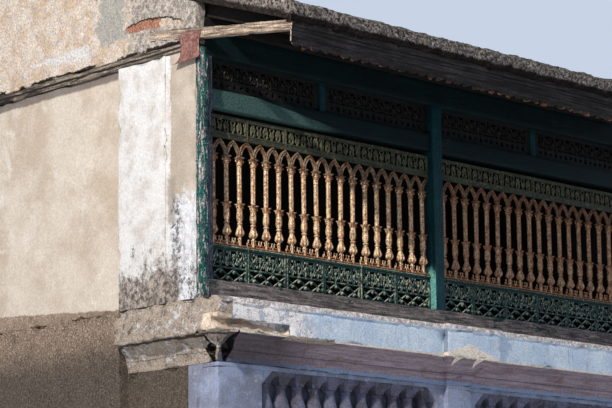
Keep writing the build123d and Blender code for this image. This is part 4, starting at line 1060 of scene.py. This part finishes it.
# bent sheet: narrowed at its middle, and its lower part curled outward
low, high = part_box("corner_sheet")
sheet = bmesh.new()
for vert in bmesh.ops.create_grid(sheet, x_segments=10, y_segments=14, size=0.5)["verts"]:
    aside, drop = vert.co.x + 0.5, 0.5 - vert.co.y
    wide = 0.5 - 0.12 * sin(pi * min(1, drop * 1.2)) + 0.02 * sin(7 * drop)
    y = low.y + (high.y - low.y) * (0.5 + (aside - 0.5) * 2 * wide)
    curl = max(0.0, drop - 0.62) / 0.38
    fall = drop if drop < 0.62 else 0.62 + 0.36 * sin(curl * 1.35) * (0.85 + 0.15 * aside)
    out = 0.004 + 0.064 * (1 - cos(curl * 1.5)) * (0.75 + 0.25 * aside)
    ripple = 0.004 * sin(9 * drop + 3 * aside)
    vert.co = Vector((high.x - 0.003 - out - ripple, y, high.z - (high.z - low.z) * fall))
bmesh.ops.recalc_face_normals(sheet, faces=sheet.faces)
curled = piece("curled_sheet", sheet, "rusted_sheet", "corner_sheet", smooth=60)
curled.modifiers.new("gauge", "SOLIDIFY").thickness = 0.003

# what stays as the CAD has it
for name, slot in slots.items():
    node = frame["nodes"][name]
    node.data.materials.clear()
    node.data.materials.append(palette[slot])

# floor, pedestal and light
low, high = cad_box
pale = bpy.data.materials.new("pale_studio")
pale.use_nodes = True
shader = pale.node_tree.nodes["Principled BSDF"].inputs
shader["Base Color"].default_value = (0.72, 0.72, 0.71, 1)
shader["Roughness"].default_value = 0.95
FLOOR = -2.6
for name, corners in (
    ("studio_floor", (-40, 40, -40, 40, FLOOR - 0.1, FLOOR)),
    ("studio_pedestal", (low.x + 0.02, high.x - 0.02, -0.16, high.y, FLOOR, 0)),
):
    shape = bmesh.new()
    box(shape, *corners)
    mesh = as_mesh(shape)
    mesh.materials.append(pale)
    placed(name, mesh)

# the sky is brighter to the camera than to the surfaces that it lights
world = bpy.data.worlds.new("studio_sky")
bpy.context.scene.world = world
world.use_nodes = True
sky = world.node_tree.nodes["Background"]
sky.inputs["Color"].default_value = (0.72, 0.82, 0.98, 1)
seen = world.node_tree.nodes.new("ShaderNodeLightPath")
strength = world.node_tree.nodes.new("ShaderNodeMapRange")
strength.inputs["To Min"].default_value = 0.5
strength.inputs["To Max"].default_value = 0.8
world.node_tree.links.new(seen.outputs["Is Camera Ray"], strength.inputs["Value"])
world.node_tree.links.new(strength.outputs[0], sky.inputs["Strength"])

# late sun from the street side
sun_data = bpy.data.lights.new("key_light", "AREA")
sun_data.size = 0.5
sun_data.energy = 3250
sun_data.color = (1.0, 0.91, 0.8)
sun_place = Vector((-17.8, -6.12, 10.96))
sun_turn = (Vector((-1, 0, 2)) - sun_place).to_track_quat("-Z", "Y")
placed("key_light", sun_data).matrix_world = at(*sun_place) @ sun_turn.to_matrix().to_4x4()
